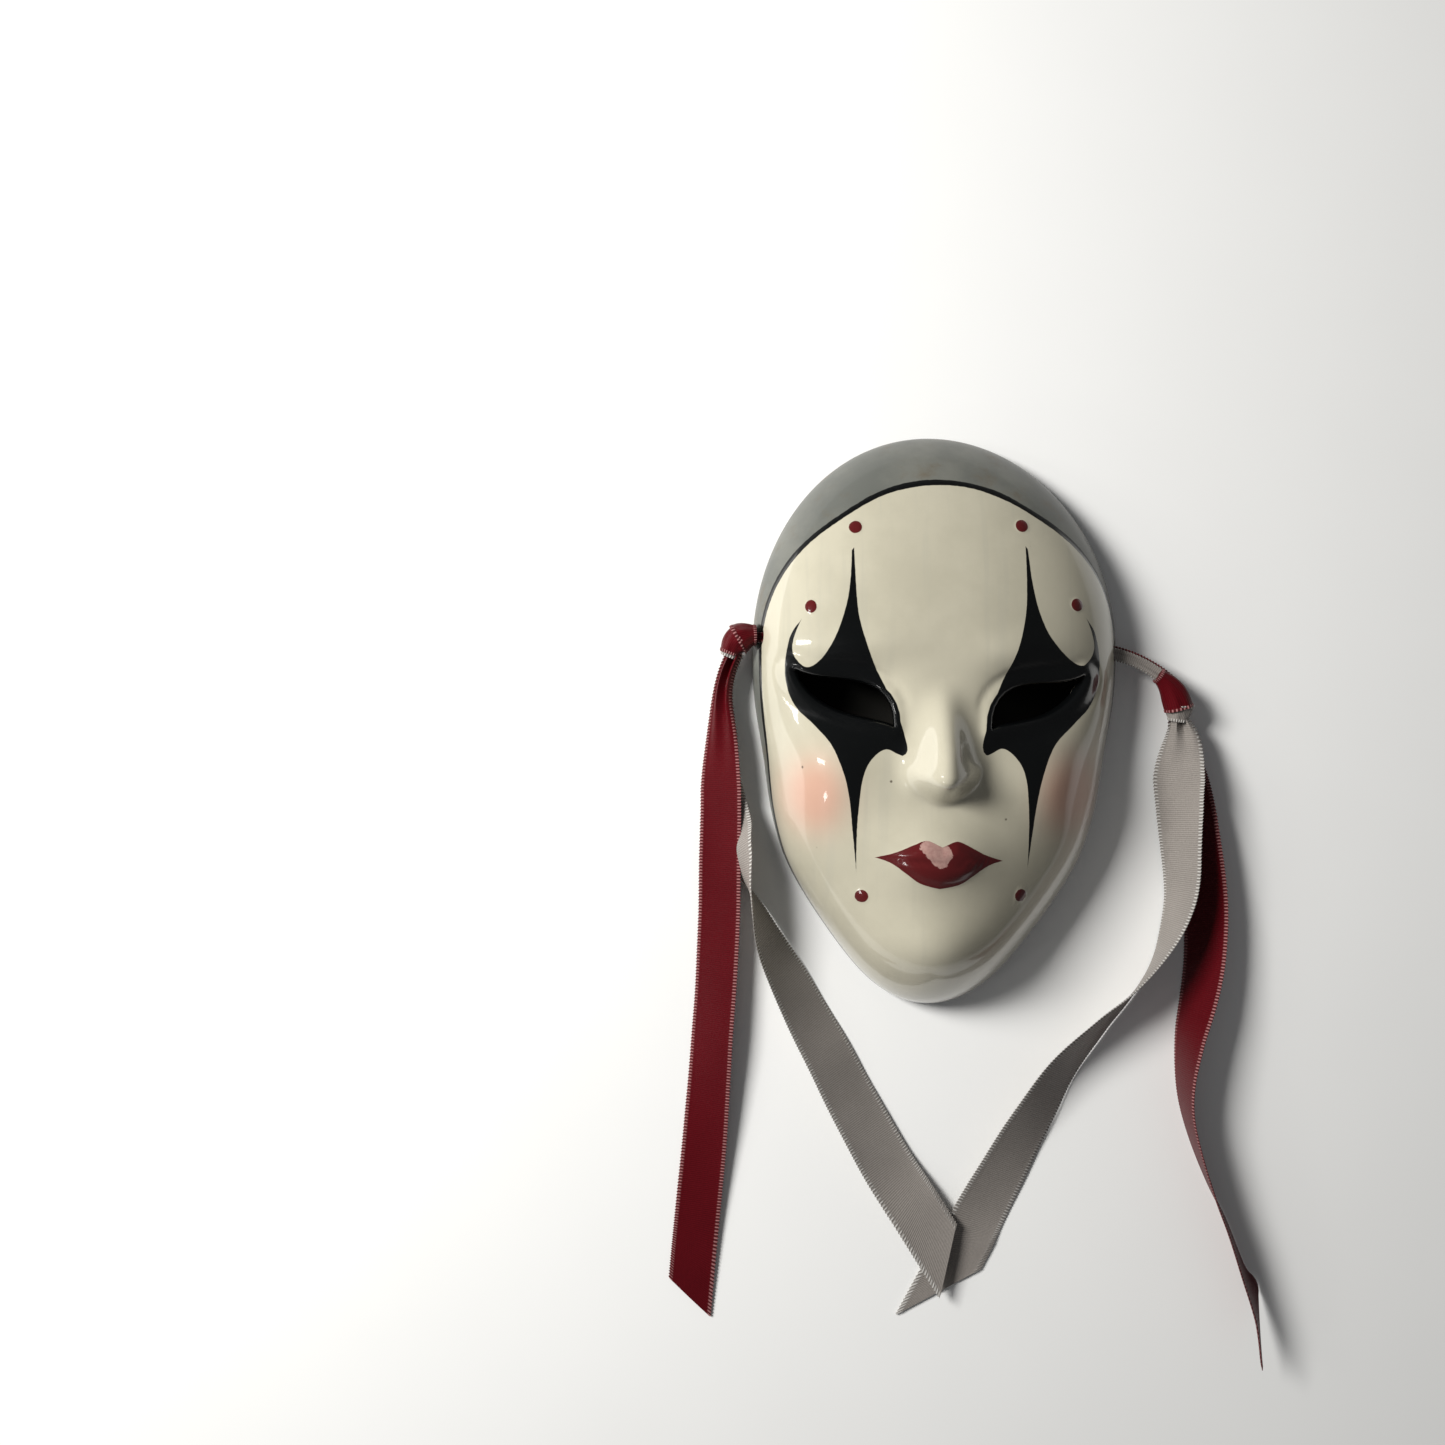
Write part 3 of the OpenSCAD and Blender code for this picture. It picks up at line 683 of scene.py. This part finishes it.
def make_knots(cloth, materials, form):
    """Each side's stopper knot, its two strands through the ear hole, and its outer knot."""
    for sign, spec in KNOTS.items():
        side, y = spec["side"], HOLE_Y[sign]
        body = side + "_ribbons"
        start = np.array([sign * (form.half_w - 6.4), y, HOLE_Z])
        bend = np.array([sign * (form.half_w + spec["lead"]), y, HOLE_Z])
        for colour, (offset, twist, half) in spec["strands"].items():
            mesh = strand_mesh(start, bend, np.array(spec["knot"]), offset, half, cloth, twist)
            add_ribbon_piece(f"{side}_{colour}_strand", mesh, colour, body, side + "_strand",
                             materials)
        for colour in ("red", "grey"):
            sleeves = [sleeve_mesh(*map(np.array, bend_points), radii, cloth)
                       for kind, *bend_points, radii in spec["sleeves"] if kind == colour]
            add_ribbon_piece(f"{side}_knot_{colour}", join_parts(sleeves), colour, body,
                             side + "_knot", materials)
        centre = np.array([sign * (form.half_w - 8.2), y, HOLE_Z])
        stopper = [sleeve_mesh(centre - reach, centre + offset, centre + reach, radii, cloth, 0.08)
                   for reach, offset, radii in STOPPER]
        add_ribbon_piece(side + "_stopper", join_parts(stopper), "red", body,
                         side + "_stopper_knot", materials)


def add_ribbon_piece(name, mesh, colour, body, node, materials):
    """Puts one ribbon mesh in the scene on its body, in place of its CAD node."""
    points, faces, weave = mesh
    made = new_object(name, points, faces, [materials[colour]], {"cloth": weave}, sharp=0.9)
    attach(made, body)
    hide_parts(node)


# ---------------------------------------------------------------- materials

# Second colours that are mottled, run or worn into the main ones
CREAM_MOTTLE = (0.466, 0.437, 0.338, 1)
CREAM_RUNS = (0.44, 0.42, 0.34, 1)
HOOD_MOTTLE = (0.116, 0.121, 0.109, 1)
HOOD_STAIN = (0.125, 0.10, 0.065, 1)
SPECK = (0.05, 0.035, 0.02, 1)
RED_MOTTLE = (0.075, 0.007, 0.008, 1)
WORN_PALE = (0.45, 0.29, 0.25, 1)
WORN_DARK = (0.24, 0.12, 0.11, 1)
CLAY = (0.34, 0.30, 0.24, 1)
CLAY_DARK = (0.22, 0.19, 0.15, 1)
CLAY_RUNS = (0.42, 0.39, 0.33, 1)
CLAY_SPECK = (0.06, 0.045, 0.03, 1)


class Nodes:
    """Adds nodes to a tree and joins their sockets."""

    def __init__(self, tree):
        self.tree = tree

    def add(self, kind, inputs=None, **settings):
        node = self.tree.nodes.new(kind)
        for key, value in settings.items():
            setattr(node, key, value)
        for key, value in (inputs or {}).items():
            self.feed(node.inputs[key], value)
        return node

    def feed(self, socket, value):
        if isinstance(value, bpy.types.NodeSocket):
            self.tree.links.new(value, socket)
        else:
            socket.default_value = value

    def math(self, operation, *values, clamp=False):
        node = self.add("ShaderNodeMath", dict(enumerate(values)), operation=operation,
                        use_clamp=clamp)
        return node.outputs[0]

    def mix(self, share, a, b, blend="MIX"):
        node = self.add("ShaderNodeMix", {0: share, 6: a, 7: b}, data_type="RGBA",
                        blend_type=blend)
        return node.outputs[2]

    def step(self, value, low, high, bottom=0.0, top=1.0):
        node = self.add("ShaderNodeMapRange", {"Value": value, "From Min": low, "From Max": high,
                                               "To Min": bottom, "To Max": top},
                        interpolation_type="SMOOTHSTEP")
        return node.outputs[0]

    def noise(self, place, scale, detail=3.0, rough=0.5):
        node = self.add("ShaderNodeTexNoise", {"Vector": place, "Scale": scale, "Detail": detail,
                                               "Roughness": rough})
        return node.outputs["Fac"]

    def place(self, scale=(1, 1, 1)):
        coords = self.add("ShaderNodeTexCoord").outputs["Object"]
        return self.add("ShaderNodeMapping", {"Vector": coords, "Scale": scale}).outputs[0]

    def fields(self, name):
        vector = self.add("ShaderNodeAttribute", attribute_name=name).outputs["Vector"]
        return self.add("ShaderNodeSeparateXYZ", {0: vector}).outputs


def node_group(name, inputs, outputs):
    """An empty shader node group with the named sockets, and its input and output nodes."""
    group = bpy.data.node_groups.new(name, "ShaderNodeTree")
    for label, kind, value in inputs:
        socket = group.interface.new_socket(label, in_out="INPUT", socket_type=kind)
        socket.default_value = value
    for label, kind in outputs:
        group.interface.new_socket(label, in_out="OUTPUT", socket_type=kind)
    nodes = Nodes(group)
    return group, nodes, nodes.add("NodeGroupInput").outputs, nodes.add("NodeGroupOutput").inputs


def age_group():
    """Kiln specks, faint runs and soft mottling, shared by the glaze and the bare clay."""
    group, n, given, out = node_group(
        "kiln_age", [("Speck Scale", "NodeSocketFloat", 330.0)],
        [("Specks", "NodeSocketFloat"), ("Runs", "NodeSocketFloat"),
         ("Mottle", "NodeSocketFloat")])
    place = n.place()
    cell = n.add("ShaderNodeTexVoronoi", {"Vector": place, "Scale": given["Speck Scale"]})
    rare = n.step(n.add("ShaderNodeSeparateColor", {0: cell.outputs["Color"]}).outputs[0],
                  0.965, 0.975)
    speck = n.step(cell.outputs["Distance"], 0.13, 0.05)
    n.feed(out["Specks"], n.math("MULTIPLY", speck, rare))
    n.feed(out["Runs"], n.noise(n.place((420, 22, 60)), 1.0, 4.0, 0.55))
    n.feed(out["Mottle"], n.noise(place, 55.0, 5.0, 0.6))
    return group


def weave_and_glints_group():
    """Satin ribbon cloth from its own place, across and along in millimetres: cross ribs, fine
    warp threads, and a paler looped selvedge. The ribs and the grain also lighten and darken the
    colour as painted rib shade and painted thread glints, along with the cloth's own tone. Puts
    out colour, height and roughness."""
    group, n, given, out = node_group(
        "satin_weave_and_glints",
        [("Cloth", "NodeSocketColor", (0.5, 0.5, 0.5, 1)),
         ("Loop", "NodeSocketColor", (0.5, 0.5, 0.5, 1)),
         ("Rib Pitch", "NodeSocketFloat", 0.5), ("Loop Pitch", "NodeSocketFloat", 1.0)],
        [("Color", "NodeSocketColor"), ("Height", "NodeSocketFloat"),
         ("Roughness", "NodeSocketFloat")])
    across, along, edge = n.fields("cloth")
    rib = n.math("SINE", n.math("MULTIPLY", n.math("DIVIDE", along, given["Rib Pitch"]), TAU))
    rib = n.math("MULTIPLY_ADD", rib, 0.5, 0.5)
    warp = n.noise(n.add("ShaderNodeCombineXYZ", {
        0: n.math("MULTIPLY", across, 9.0), 1: n.math("MULTIPLY", along, 0.35)}).outputs[0], 1.0)
    grain = n.noise(n.add("ShaderNodeCombineXYZ", {
        0: n.math("MULTIPLY", across, 3.2), 1: n.math("MULTIPLY", along, 2.6)}).outputs[0], 1.0,
        2.0, 0.6)
    blotch = n.noise(n.place(), 90.0, 3.0, 0.5)
    loop = n.math("SINE", n.math("MULTIPLY", n.math("DIVIDE", along, given["Loop Pitch"]), TAU))
    loop = n.step(loop, -0.1, 0.7)
    outer = n.step(edge, 0.1, 0.6)
    # Painted shade and highlight: the ribs and the grain lighten and darken the colour as light on the
    # threads would, along with the threads' own tone.
    shade = n.math("ADD", n.math("MULTIPLY_ADD", rib, 0.34, 0.34),
                   n.math("ADD", n.math("MULTIPLY", warp, 0.3), n.math("MULTIPLY", grain, 0.55)))
    shade = n.math("MULTIPLY", shade, n.math("MULTIPLY_ADD", blotch, 0.3, 0.85))
    shade = n.math("MULTIPLY", shade, n.math("MULTIPLY_ADD", outer, -0.3, 1.0))
    body = n.mix(1.0, given["Cloth"], n.add("ShaderNodeCombineColor", {0: shade, 1: shade,
                                                                       2: shade}).outputs[0],
                 "MULTIPLY")
    pale = n.math("MULTIPLY", outer, n.math("MULTIPLY_ADD", loop, 0.8, 0.05))
    n.feed(out["Color"], n.mix(pale, body, given["Loop"]))
    height = n.math("ADD", n.math("MULTIPLY", rib, 0.6), n.math("MULTIPLY", grain, 0.5))
    n.feed(out["Height"], n.math("ADD", height, n.math("MULTIPLY", n.math("MULTIPLY", loop, outer),
                                                       0.9)))
    n.feed(out["Roughness"], n.math("ADD", n.math("MULTIPLY_ADD", grain, 0.25, 0.38),
                                    n.math("MULTIPLY", outer, 0.2)))
    return group


def new_material(name):
    """A material with one Principled shader, and its node tool."""
    material = bpy.data.materials.new(name)
    material.use_nodes = True
    n = Nodes(material.node_tree)
    shader = material.node_tree.nodes["Principled BSDF"]
    return material, n, shader


def rgba(colour):
    """A colour property as a shader colour."""
    return (*colour[:3], 1.0)


def satin_material(name, weave, colour, loop_colour, cloth):
    """Satin: cross-ribbed, softly shining cloth with a paler picot edge; its colour carries painted rib
    shade and thread glints.
    """
    material, n, shader = new_material(name)
    group = n.add("ShaderNodeGroup", node_tree=weave)
    n.feed(group.inputs["Cloth"], rgba(colour))
    n.feed(group.inputs["Loop"], rgba(loop_colour))
    n.feed(group.inputs["Rib Pitch"], cloth.rib_pitch / MM)
    n.feed(group.inputs["Loop Pitch"], cloth.picot_pitch / MM)
    n.feed(shader.inputs["Base Color"], group.outputs["Color"])
    n.feed(shader.inputs["Roughness"], group.outputs["Roughness"])
    bump = n.add("ShaderNodeBump", {"Height": group.outputs["Height"], "Strength": 0.6,
                                    "Distance": 0.0001})
    n.feed(shader.inputs["Normal"], bump.outputs[0])
    shader.inputs["Specular IOR Level"].default_value = 0.3
    return material


def glaze_material(paint, age):
    """Painted and glazed ceramic: cream, with the black patches and line, red lips and beads,
    blush, the grey hood and the worn spot laid on in turn; the black and the red stand slightly
    raised, and the worn spot lies lower."""
    material, n, shader = new_material("painted_glaze")
    aged = n.add("ShaderNodeGroup", node_tree=age)
    wobble = n.math("MULTIPLY_ADD", n.noise(n.place(), 900.0, 2.0), 0.14, -0.07)
    sides = n.fields("patch")
    lips = n.fields("lips")
    face = n.fields("face")
    black = n.math("MINIMUM", n.math("MINIMUM", sides[0], sides[1]), sides[2])
    black = n.step(n.math("ADD", black, wobble), -0.05, 0.07)
    red = n.math("MAXIMUM", n.math("MINIMUM", lips[0], lips[1]), lips[2])
    red = n.step(n.math("ADD", red, wobble), -0.05, 0.07)
    width = paint.line_width / MM / 2
    off_line = n.math("ABSOLUTE", n.math("ADD", face[0], n.math("MULTIPLY", wobble, 2.0)))
    thin = n.math("MULTIPLY_ADD", n.noise(n.place(), 60.0, 1.0), -0.5, width + 0.25)
    line = n.step(n.math("SUBTRACT", off_line, thin), 0.08, -0.08)
    hood = n.step(face[0], -0.1, 0.1)
    worn_edge = n.math("MULTIPLY_ADD", n.noise(n.place(), 800.0, 4.0, 0.7), 1.4, -0.7)
    worn = n.step(n.math("ADD", face[2], worn_edge), -0.05, 0.12)

    mottle, runs, specks = aged.outputs["Mottle"], aged.outputs["Runs"], aged.outputs["Specks"]
    cream = n.mix(n.step(mottle, 0.35, 0.68, 0.0, 0.8), rgba(paint.cream),
                  CREAM_MOTTLE)
    cream = n.mix(n.step(runs, 0.5, 0.72, 0.0, 0.35), cream, CREAM_RUNS)
    cream = n.mix(n.step(face[1], 0.0, 1.0, 0.0, 0.7), cream, rgba(paint.blush))
    stain = n.noise(n.place(), 130.0, 6.0, 0.65)
    grey = n.mix(n.step(mottle, 0.35, 0.65, 0.0, 0.95), rgba(paint.hood), HOOD_MOTTLE)
    grey = n.mix(n.step(stain, 0.5, 0.74, 0.0, 0.75), grey, HOOD_STAIN)
    colour = n.mix(hood, cream, grey)
    colour = n.mix(n.math("MULTIPLY", specks, 0.8), colour, SPECK)
    colour = n.mix(line, colour, rgba(paint.black))
    colour = n.mix(black, colour, rgba(paint.black))
    colour = n.mix(red, colour, n.mix(n.step(mottle, 0.35, 0.65, 0.0, 0.5), rgba(paint.red),
                                      RED_MOTTLE))
    bare = n.mix(n.noise(n.place(), 1500.0, 3.0), WORN_PALE, WORN_DARK)
    colour = n.mix(n.math("MULTIPLY", worn, red), colour, bare)
    n.feed(shader.inputs["Base Color"], colour)

    dull = n.math("MAXIMUM", n.math("MULTIPLY", hood, 0.75), n.math("MULTIPLY", worn, 0.9))
    n.feed(shader.inputs["Coat Weight"], n.math("SUBTRACT", 1.0, dull))
    n.feed(shader.inputs["Roughness"], n.math("MULTIPLY_ADD", dull, 0.28, 0.3))
    shader.inputs["Coat Roughness"].default_value = 0.05
    shader.inputs["Coat IOR"].default_value = 1.55

    paint_on = n.math("MAXIMUM", n.math("MAXIMUM", black, red), line)
    height = n.math("MULTIPLY", paint_on, 0.8)
    height = n.math("ADD", height, n.math("MULTIPLY", n.noise(n.place(), 320.0, 2.0), 0.55))
    height = n.math("SUBTRACT", height, n.math("MULTIPLY", worn, 1.3))
    height = n.math("SUBTRACT", height, n.math("MULTIPLY", specks, 0.8))
    height = n.math("ADD", height, n.math("MULTIPLY", hood, n.math(
        "MULTIPLY", n.noise(n.place(), 1400.0, 4.0, 0.7), 0.5)))
    bump = n.add("ShaderNodeBump", {"Height": height, "Strength": 0.6, "Distance": 0.00005})
    n.feed(shader.inputs["Normal"], bump.outputs[0])
    return material


def clay_material(age):
    """The bare inside: fired clay with slip drips, darker in its pores."""
    material, n, shader = new_material("bare_clay")
    aged = n.add("ShaderNodeGroup", {"Speck Scale": 420.0}, node_tree=age)
    base = n.mix(n.step(aged.outputs["Mottle"], 0.3, 0.7), CLAY,
                 CLAY_DARK)
    base = n.mix(n.step(aged.outputs["Runs"], 0.5, 0.75, 0.0, 0.5), base, CLAY_RUNS)
    base = n.mix(aged.outputs["Specks"], base, CLAY_SPECK)
    n.feed(shader.inputs["Base Color"], base)
    n.feed(shader.inputs["Roughness"], n.math("MULTIPLY_ADD", aged.outputs["Mottle"], 0.25, 0.6))
    grain = n.noise(n.place(), 1800.0, 5.0, 0.7)
    bump = n.add("ShaderNodeBump", {"Height": grain, "Strength": 0.5, "Distance": 0.0001})
    n.feed(shader.inputs["Normal"], bump.outputs[0])
    return material


def cloth_materials(cloth):
    """The red and the grey satin, made once and shared by every ribbon piece."""
    if "red_satin_cloth" not in bpy.data.materials:
        weave = weave_and_glints_group()
        satin_material("red_satin_cloth", weave, cloth.red, cloth.red_loop, cloth)
        satin_material("grey_satin_cloth", weave, cloth.grey, cloth.grey_loop, cloth)
    return {"red": bpy.data.materials["red_satin_cloth"],
            "grey": bpy.data.materials["grey_satin_cloth"]}


# ---------------------------------------------------------------- settings

def colour_property(name, description, default):
    """A linear RGB colour setting."""
    return FloatVectorProperty(name=name, description=description, default=default, size=3,
                               subtype="COLOR", min=0, max=1)


def length_property(name, description, default):
    """A length setting in metres."""
    return FloatProperty(name=name, description=description, default=default, min=0,
                         unit="LENGTH", precision=4)


class MaskBodySettings(bpy.types.PropertyGroup):
    """Sizes of the ceramic body."""
    width: length_property("Width", "Widest width of the mask", SHELL_HIGH.x - SHELL_LOW.x)
    height: length_property("Height", "Chin to crown", SHELL_HIGH.y - SHELL_LOW.y)
    dome_height: length_property("Dome height", "Height of the plain dome", 0.0235)
    wall: length_property("Wall", "Thickness of the fired wall", 0.0028)
    nose_height: length_property("Nose height", "Height of the nose above the dome", 0.0095)
    eye_roll: length_property("Eye roll", "How far an eye's rolled edge stands in", 0.0012)
    spokes: IntProperty(name="Spokes", description="Points round the outline", default=360,
                        min=60, max=400)
    rings: IntProperty(name="Rings", description="Rings from face to rim", default=112, min=30,
                       max=120)


class PaintSettings(bpy.types.PropertyGroup):
    """Colours and sizes of the painted face."""
    cream: colour_property("Cream", "Glaze of the face", (0.528, 0.495, 0.388))
    hood: colour_property("Hood", "Grey above and behind the line", (0.164, 0.166, 0.146))
    black: colour_property("Black", "Eye patches and line", (0.0022, 0.0026, 0.0028))
    red: colour_property("Red", "Lips and beads", (0.098, 0.009, 0.010))
    blush: colour_property("Blush", "Cheeks", (0.616, 0.305, 0.22))
    line_width: length_property("Line width", "Width of the framing line", 0.0014)
    line_height: length_property("Line height", "Height of the line on the crown", 0.0146)
    dot_size: length_property("Dot size", "Diameter of a painted dot", 0.0028)


class ClothSettings(bpy.types.PropertyGroup):
    """Sizes and colours of the satin ribbons."""
    red_width: length_property("Red width", "Width of the red ribbon", 0.010)
    grey_width: length_property("Grey width", "Width of the grey ribbon", 0.012)
    thickness: length_property("Thickness", "Thickness of the cloth", 0.0003)
    picot: length_property("Picot", "How far an edge loop stands out", 0.00022)
    picot_pitch: length_property("Picot pitch", "Distance between edge loops", 0.0007)
    rib_pitch: length_property("Rib pitch", "Distance between cross ribs", 0.00045)
    red: colour_property("Red satin", "Red cloth", (0.088, 0.003, 0.006))
    red_loop: colour_property("Red loop", "Edge loops of the red ribbon", (0.42, 0.19, 0.19))
    grey: colour_property("Grey satin", "Grey cloth", (0.285, 0.258, 0.236))
    grey_loop: colour_property("Grey loop", "Edge loops of the grey ribbon", (0.62, 0.60, 0.57))


class StageSettings(bpy.types.PropertyGroup):
    """Camera and lights."""
    camera_height: length_property("Camera height", "Camera above the surface", 0.318)
    focal: FloatProperty(name="Focal length", description="Lens in millimetres", default=35.03,
                         min=10, max=200)
    key: FloatProperty(name="Key power", description="Power of the window light", default=5.2,
                       min=0, unit="POWER")
    ambient: FloatProperty(name="Ambient", description="Strength of the room light", default=0.125,
                           min=0)


# ---------------------------------------------------------------- operators

CAMERA_X, CAMERA_Y = -0.0475, -0.0004
FLOOR_HALF, FLOOR_Z = 1.0, -0.0001
# Painted shade: a dark card under the mask stands in for the shade inside it
SHADE_CARD_SIDES, SHADE_CARD_INSET, SHADE_CARD_Z = 48, 0.86, 0.0001

# Each lamp: its name, place, size, share of the key power, colour, and whether the glaze mirrors it
LAMPS = [
    ("window", (-0.434, 0.186, 0.397), (0.20, 0.20), 1.0, (1.0, 0.99, 0.965), False),
    ("low_window", (-0.47, -0.27, 0.24), (0.035, 0.05), 0.012, (1.0, 0.99, 0.97), True),
    ("upper_window", (-0.56, 0.05, 0.28), (0.05, 0.12), 0.045, (1.0, 0.99, 0.97), True),
]


class MASQUERADE_OT_stage(bpy.types.Operator):
    """Add the pale floor, the soft window light and the camera"""
    bl_idname = "masquerade.stage"
    bl_label = "Stage"

    def execute(self, context):
        stage = context.scene.masquerade_stage
        scene = context.scene
        corners = [(-1, -1), (1, -1), (1, 1), (-1, 1)]
        mesh = bpy.data.meshes.new("floor")
        mesh.from_pydata([(x * FLOOR_HALF, y * FLOOR_HALF, FLOOR_Z) for x, y in corners], [],
                         [(0, 1, 2, 3)])
        floor = bpy.data.objects.new("floor", mesh)
        scene.collection.objects.link(floor)
        material, n, shader = new_material("floor_paper")
        n.feed(shader.inputs["Base Color"], n.mix(n.noise(n.place(), 40.0), (0.91, 0.91, 0.90, 1),
                                                  (0.93, 0.93, 0.92, 1)))
        shader.inputs["Roughness"].default_value = 0.9
        shader.inputs["Specular IOR Level"].default_value = 0.2
        mesh.materials.append(material)
        # painted shade: a dark card hidden under the mask keeps the eye openings dark
        add_painted_shade_card()

        world = bpy.data.worlds.new("room")
        world.use_nodes = True
        w = Nodes(world.node_tree)
        back = world.node_tree.nodes["Background"]
        back.inputs["Color"].default_value = (0.97, 0.98, 1.0, 1)
        ray = w.add("ShaderNodeLightPath").outputs
        soft = w.math("MULTIPLY_ADD", ray["Is Diffuse Ray"], stage.ambient * 0.7,
                      stage.ambient * 0.3)
        w.feed(back.inputs["Strength"], w.math("ADD", soft, ray["Is Camera Ray"]))
        scene.world = world
        scene.view_settings.view_transform = "Standard"
        for name, place, size, share, colour, shine in LAMPS:
            add_light(name, place, size, stage.key * share, colour, shine)

        lens = bpy.data.cameras.new("camera")
        lens.lens = stage.focal
        lens.sensor_width = 36
        lens.clip_start = 0.01
        camera = bpy.data.objects.new("camera", lens)
        camera.location = (CAMERA_X, CAMERA_Y, stage.camera_height)
        scene.collection.objects.link(camera)
        scene.camera = camera
        return {"FINISHED"}


def add_painted_shade_card():
    """Painted shade: a dark card that lies hidden under the mask and stands in for the shade inside it,
    so that the eyes look out of a dark room.
    """
    around = TAU * np.arange(SHADE_CARD_SIDES) / SHADE_CARD_SIDES
    x = SHADE_CARD_INSET * SHELL_HIGH.x * np.sin(around)
    half_h = (SHELL_HIGH.y - SHELL_LOW.y) / 2
    y = (SHELL_HIGH.y + SHELL_LOW.y) / 2 + SHADE_CARD_INSET * half_h * np.cos(around)
    material, _, shader = new_material("painted_shade_card")
    shader.inputs["Base Color"].default_value = (0.022, 0.021, 0.019, 1)
    shader.inputs["Roughness"].default_value = 0.9
    shader.inputs["Specular IOR Level"].default_value = 0.1
    rim = np.stack([x, y, 0 * x + SHADE_CARD_Z], 1) / MM
    new_object("card", rim, [np.arange(SHADE_CARD_SIDES)[::-1]], [material])


def add_light(name, place, size, power, colour, shine):
    """A rectangular lamp at a place, aimed at the middle of the mask; shine says whether the
    glaze mirrors it."""
    lamp = bpy.data.lights.new(name, "AREA")
    lamp.shape = "RECTANGLE"
    lamp.size, lamp.size_y = size
    lamp.energy = power
    lamp.color = colour
    made = bpy.data.objects.new(name, lamp)
    made.location = place
    aim = -made.location
    made.rotation_euler = aim.to_track_quat("-Z", "Y").to_euler()
    made.visible_glossy = shine
    bpy.context.scene.collection.objects.link(made)


class MASQUERADE_OT_ribbon_tails(bpy.types.Operator):
    """Add the four free ends of the satin ribbons"""
    bl_idname = "masquerade.ribbon_tails"
    bl_label = "Ribbon tails"

    def execute(self, context):
        cloth = context.scene.masquerade_cloth
        make_tails(cloth, cloth_materials(cloth))
        return {"FINISHED"}


class MASQUERADE_OT_knots(bpy.types.Operator):
    """Add the knots and the strands that pass through the ear holes"""
    bl_idname = "masquerade.knots"
    bl_label = "Knots and strands"

    def execute(self, context):
        scene = context.scene
        form = MaskForm(scene.masquerade_body, scene.masquerade_paint)
        cloth = scene.masquerade_cloth
        make_knots(cloth, cloth_materials(cloth), form)
        return {"FINISHED"}


class MASQUERADE_OT_shell(bpy.types.Operator):
    """Add the glazed and painted ceramic face with its rolled openings"""
    bl_idname = "masquerade.shell"
    bl_label = "Ceramic shell"

    def execute(self, context):
        body, paint = context.scene.masquerade_body, context.scene.masquerade_paint
        form = MaskForm(body, paint)
        points, faces, fields, inner = shell_mesh(form, body.spokes, body.rings,
                                                  paint.line_height / MM)
        age = age_group()
        shell = new_object("glazed_face", points, faces, [glaze_material(paint, age),
                                                          clay_material(age)],
                           fields, inner, sharp=1.0)
        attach(shell, "mask")
        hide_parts("mask_shell")
        return {"FINISHED"}


class MASQUERADE_PT_panel(bpy.types.Panel):
    """Lists the mask's pieces in the order they are made"""
    bl_idname = "MASQUERADE_PT_panel"
    bl_label = "Masquerade mask"
    bl_space_type = "VIEW_3D"
    bl_region_type = "UI"
    bl_category = "Mask"

    def draw(self, context):
        for maker in MAKERS:
            self.layout.operator(maker.bl_idname)
        for name in SETTINGS:
            group = getattr(context.scene, name)
            box = self.layout.box()
            for key in group.bl_rna.properties.keys():
                if key not in ("rna_type", "name"):
                    box.prop(group, key)


MAKERS = (MASQUERADE_OT_stage, MASQUERADE_OT_ribbon_tails, MASQUERADE_OT_knots,
          MASQUERADE_OT_shell)
SETTINGS = {"masquerade_stage": StageSettings, "masquerade_body": MaskBodySettings,
            "masquerade_paint": PaintSettings, "masquerade_cloth": ClothSettings}
CLASSES = (*SETTINGS.values(), *MAKERS, MASQUERADE_PT_panel)


def register():
    """Registers the classes and hangs the settings on the scene."""
    for cls in CLASSES:
        bpy.utils.register_class(cls)
    for name, cls in SETTINGS.items():
        setattr(bpy.types.Scene, name, PointerProperty(type=cls))


def unregister():
    """Takes the settings and the classes away again."""
    for name in SETTINGS:
        delattr(bpy.types.Scene, name)
    for cls in reversed(CLASSES):
        bpy.utils.unregister_class(cls)


def main():
    """Makes every piece in order."""
    register()
    bpy.ops.masquerade.stage()
    bpy.ops.masquerade.ribbon_tails()
    bpy.ops.masquerade.knots()
    bpy.ops.masquerade.shell()


if __name__ == "__main__":
    main()
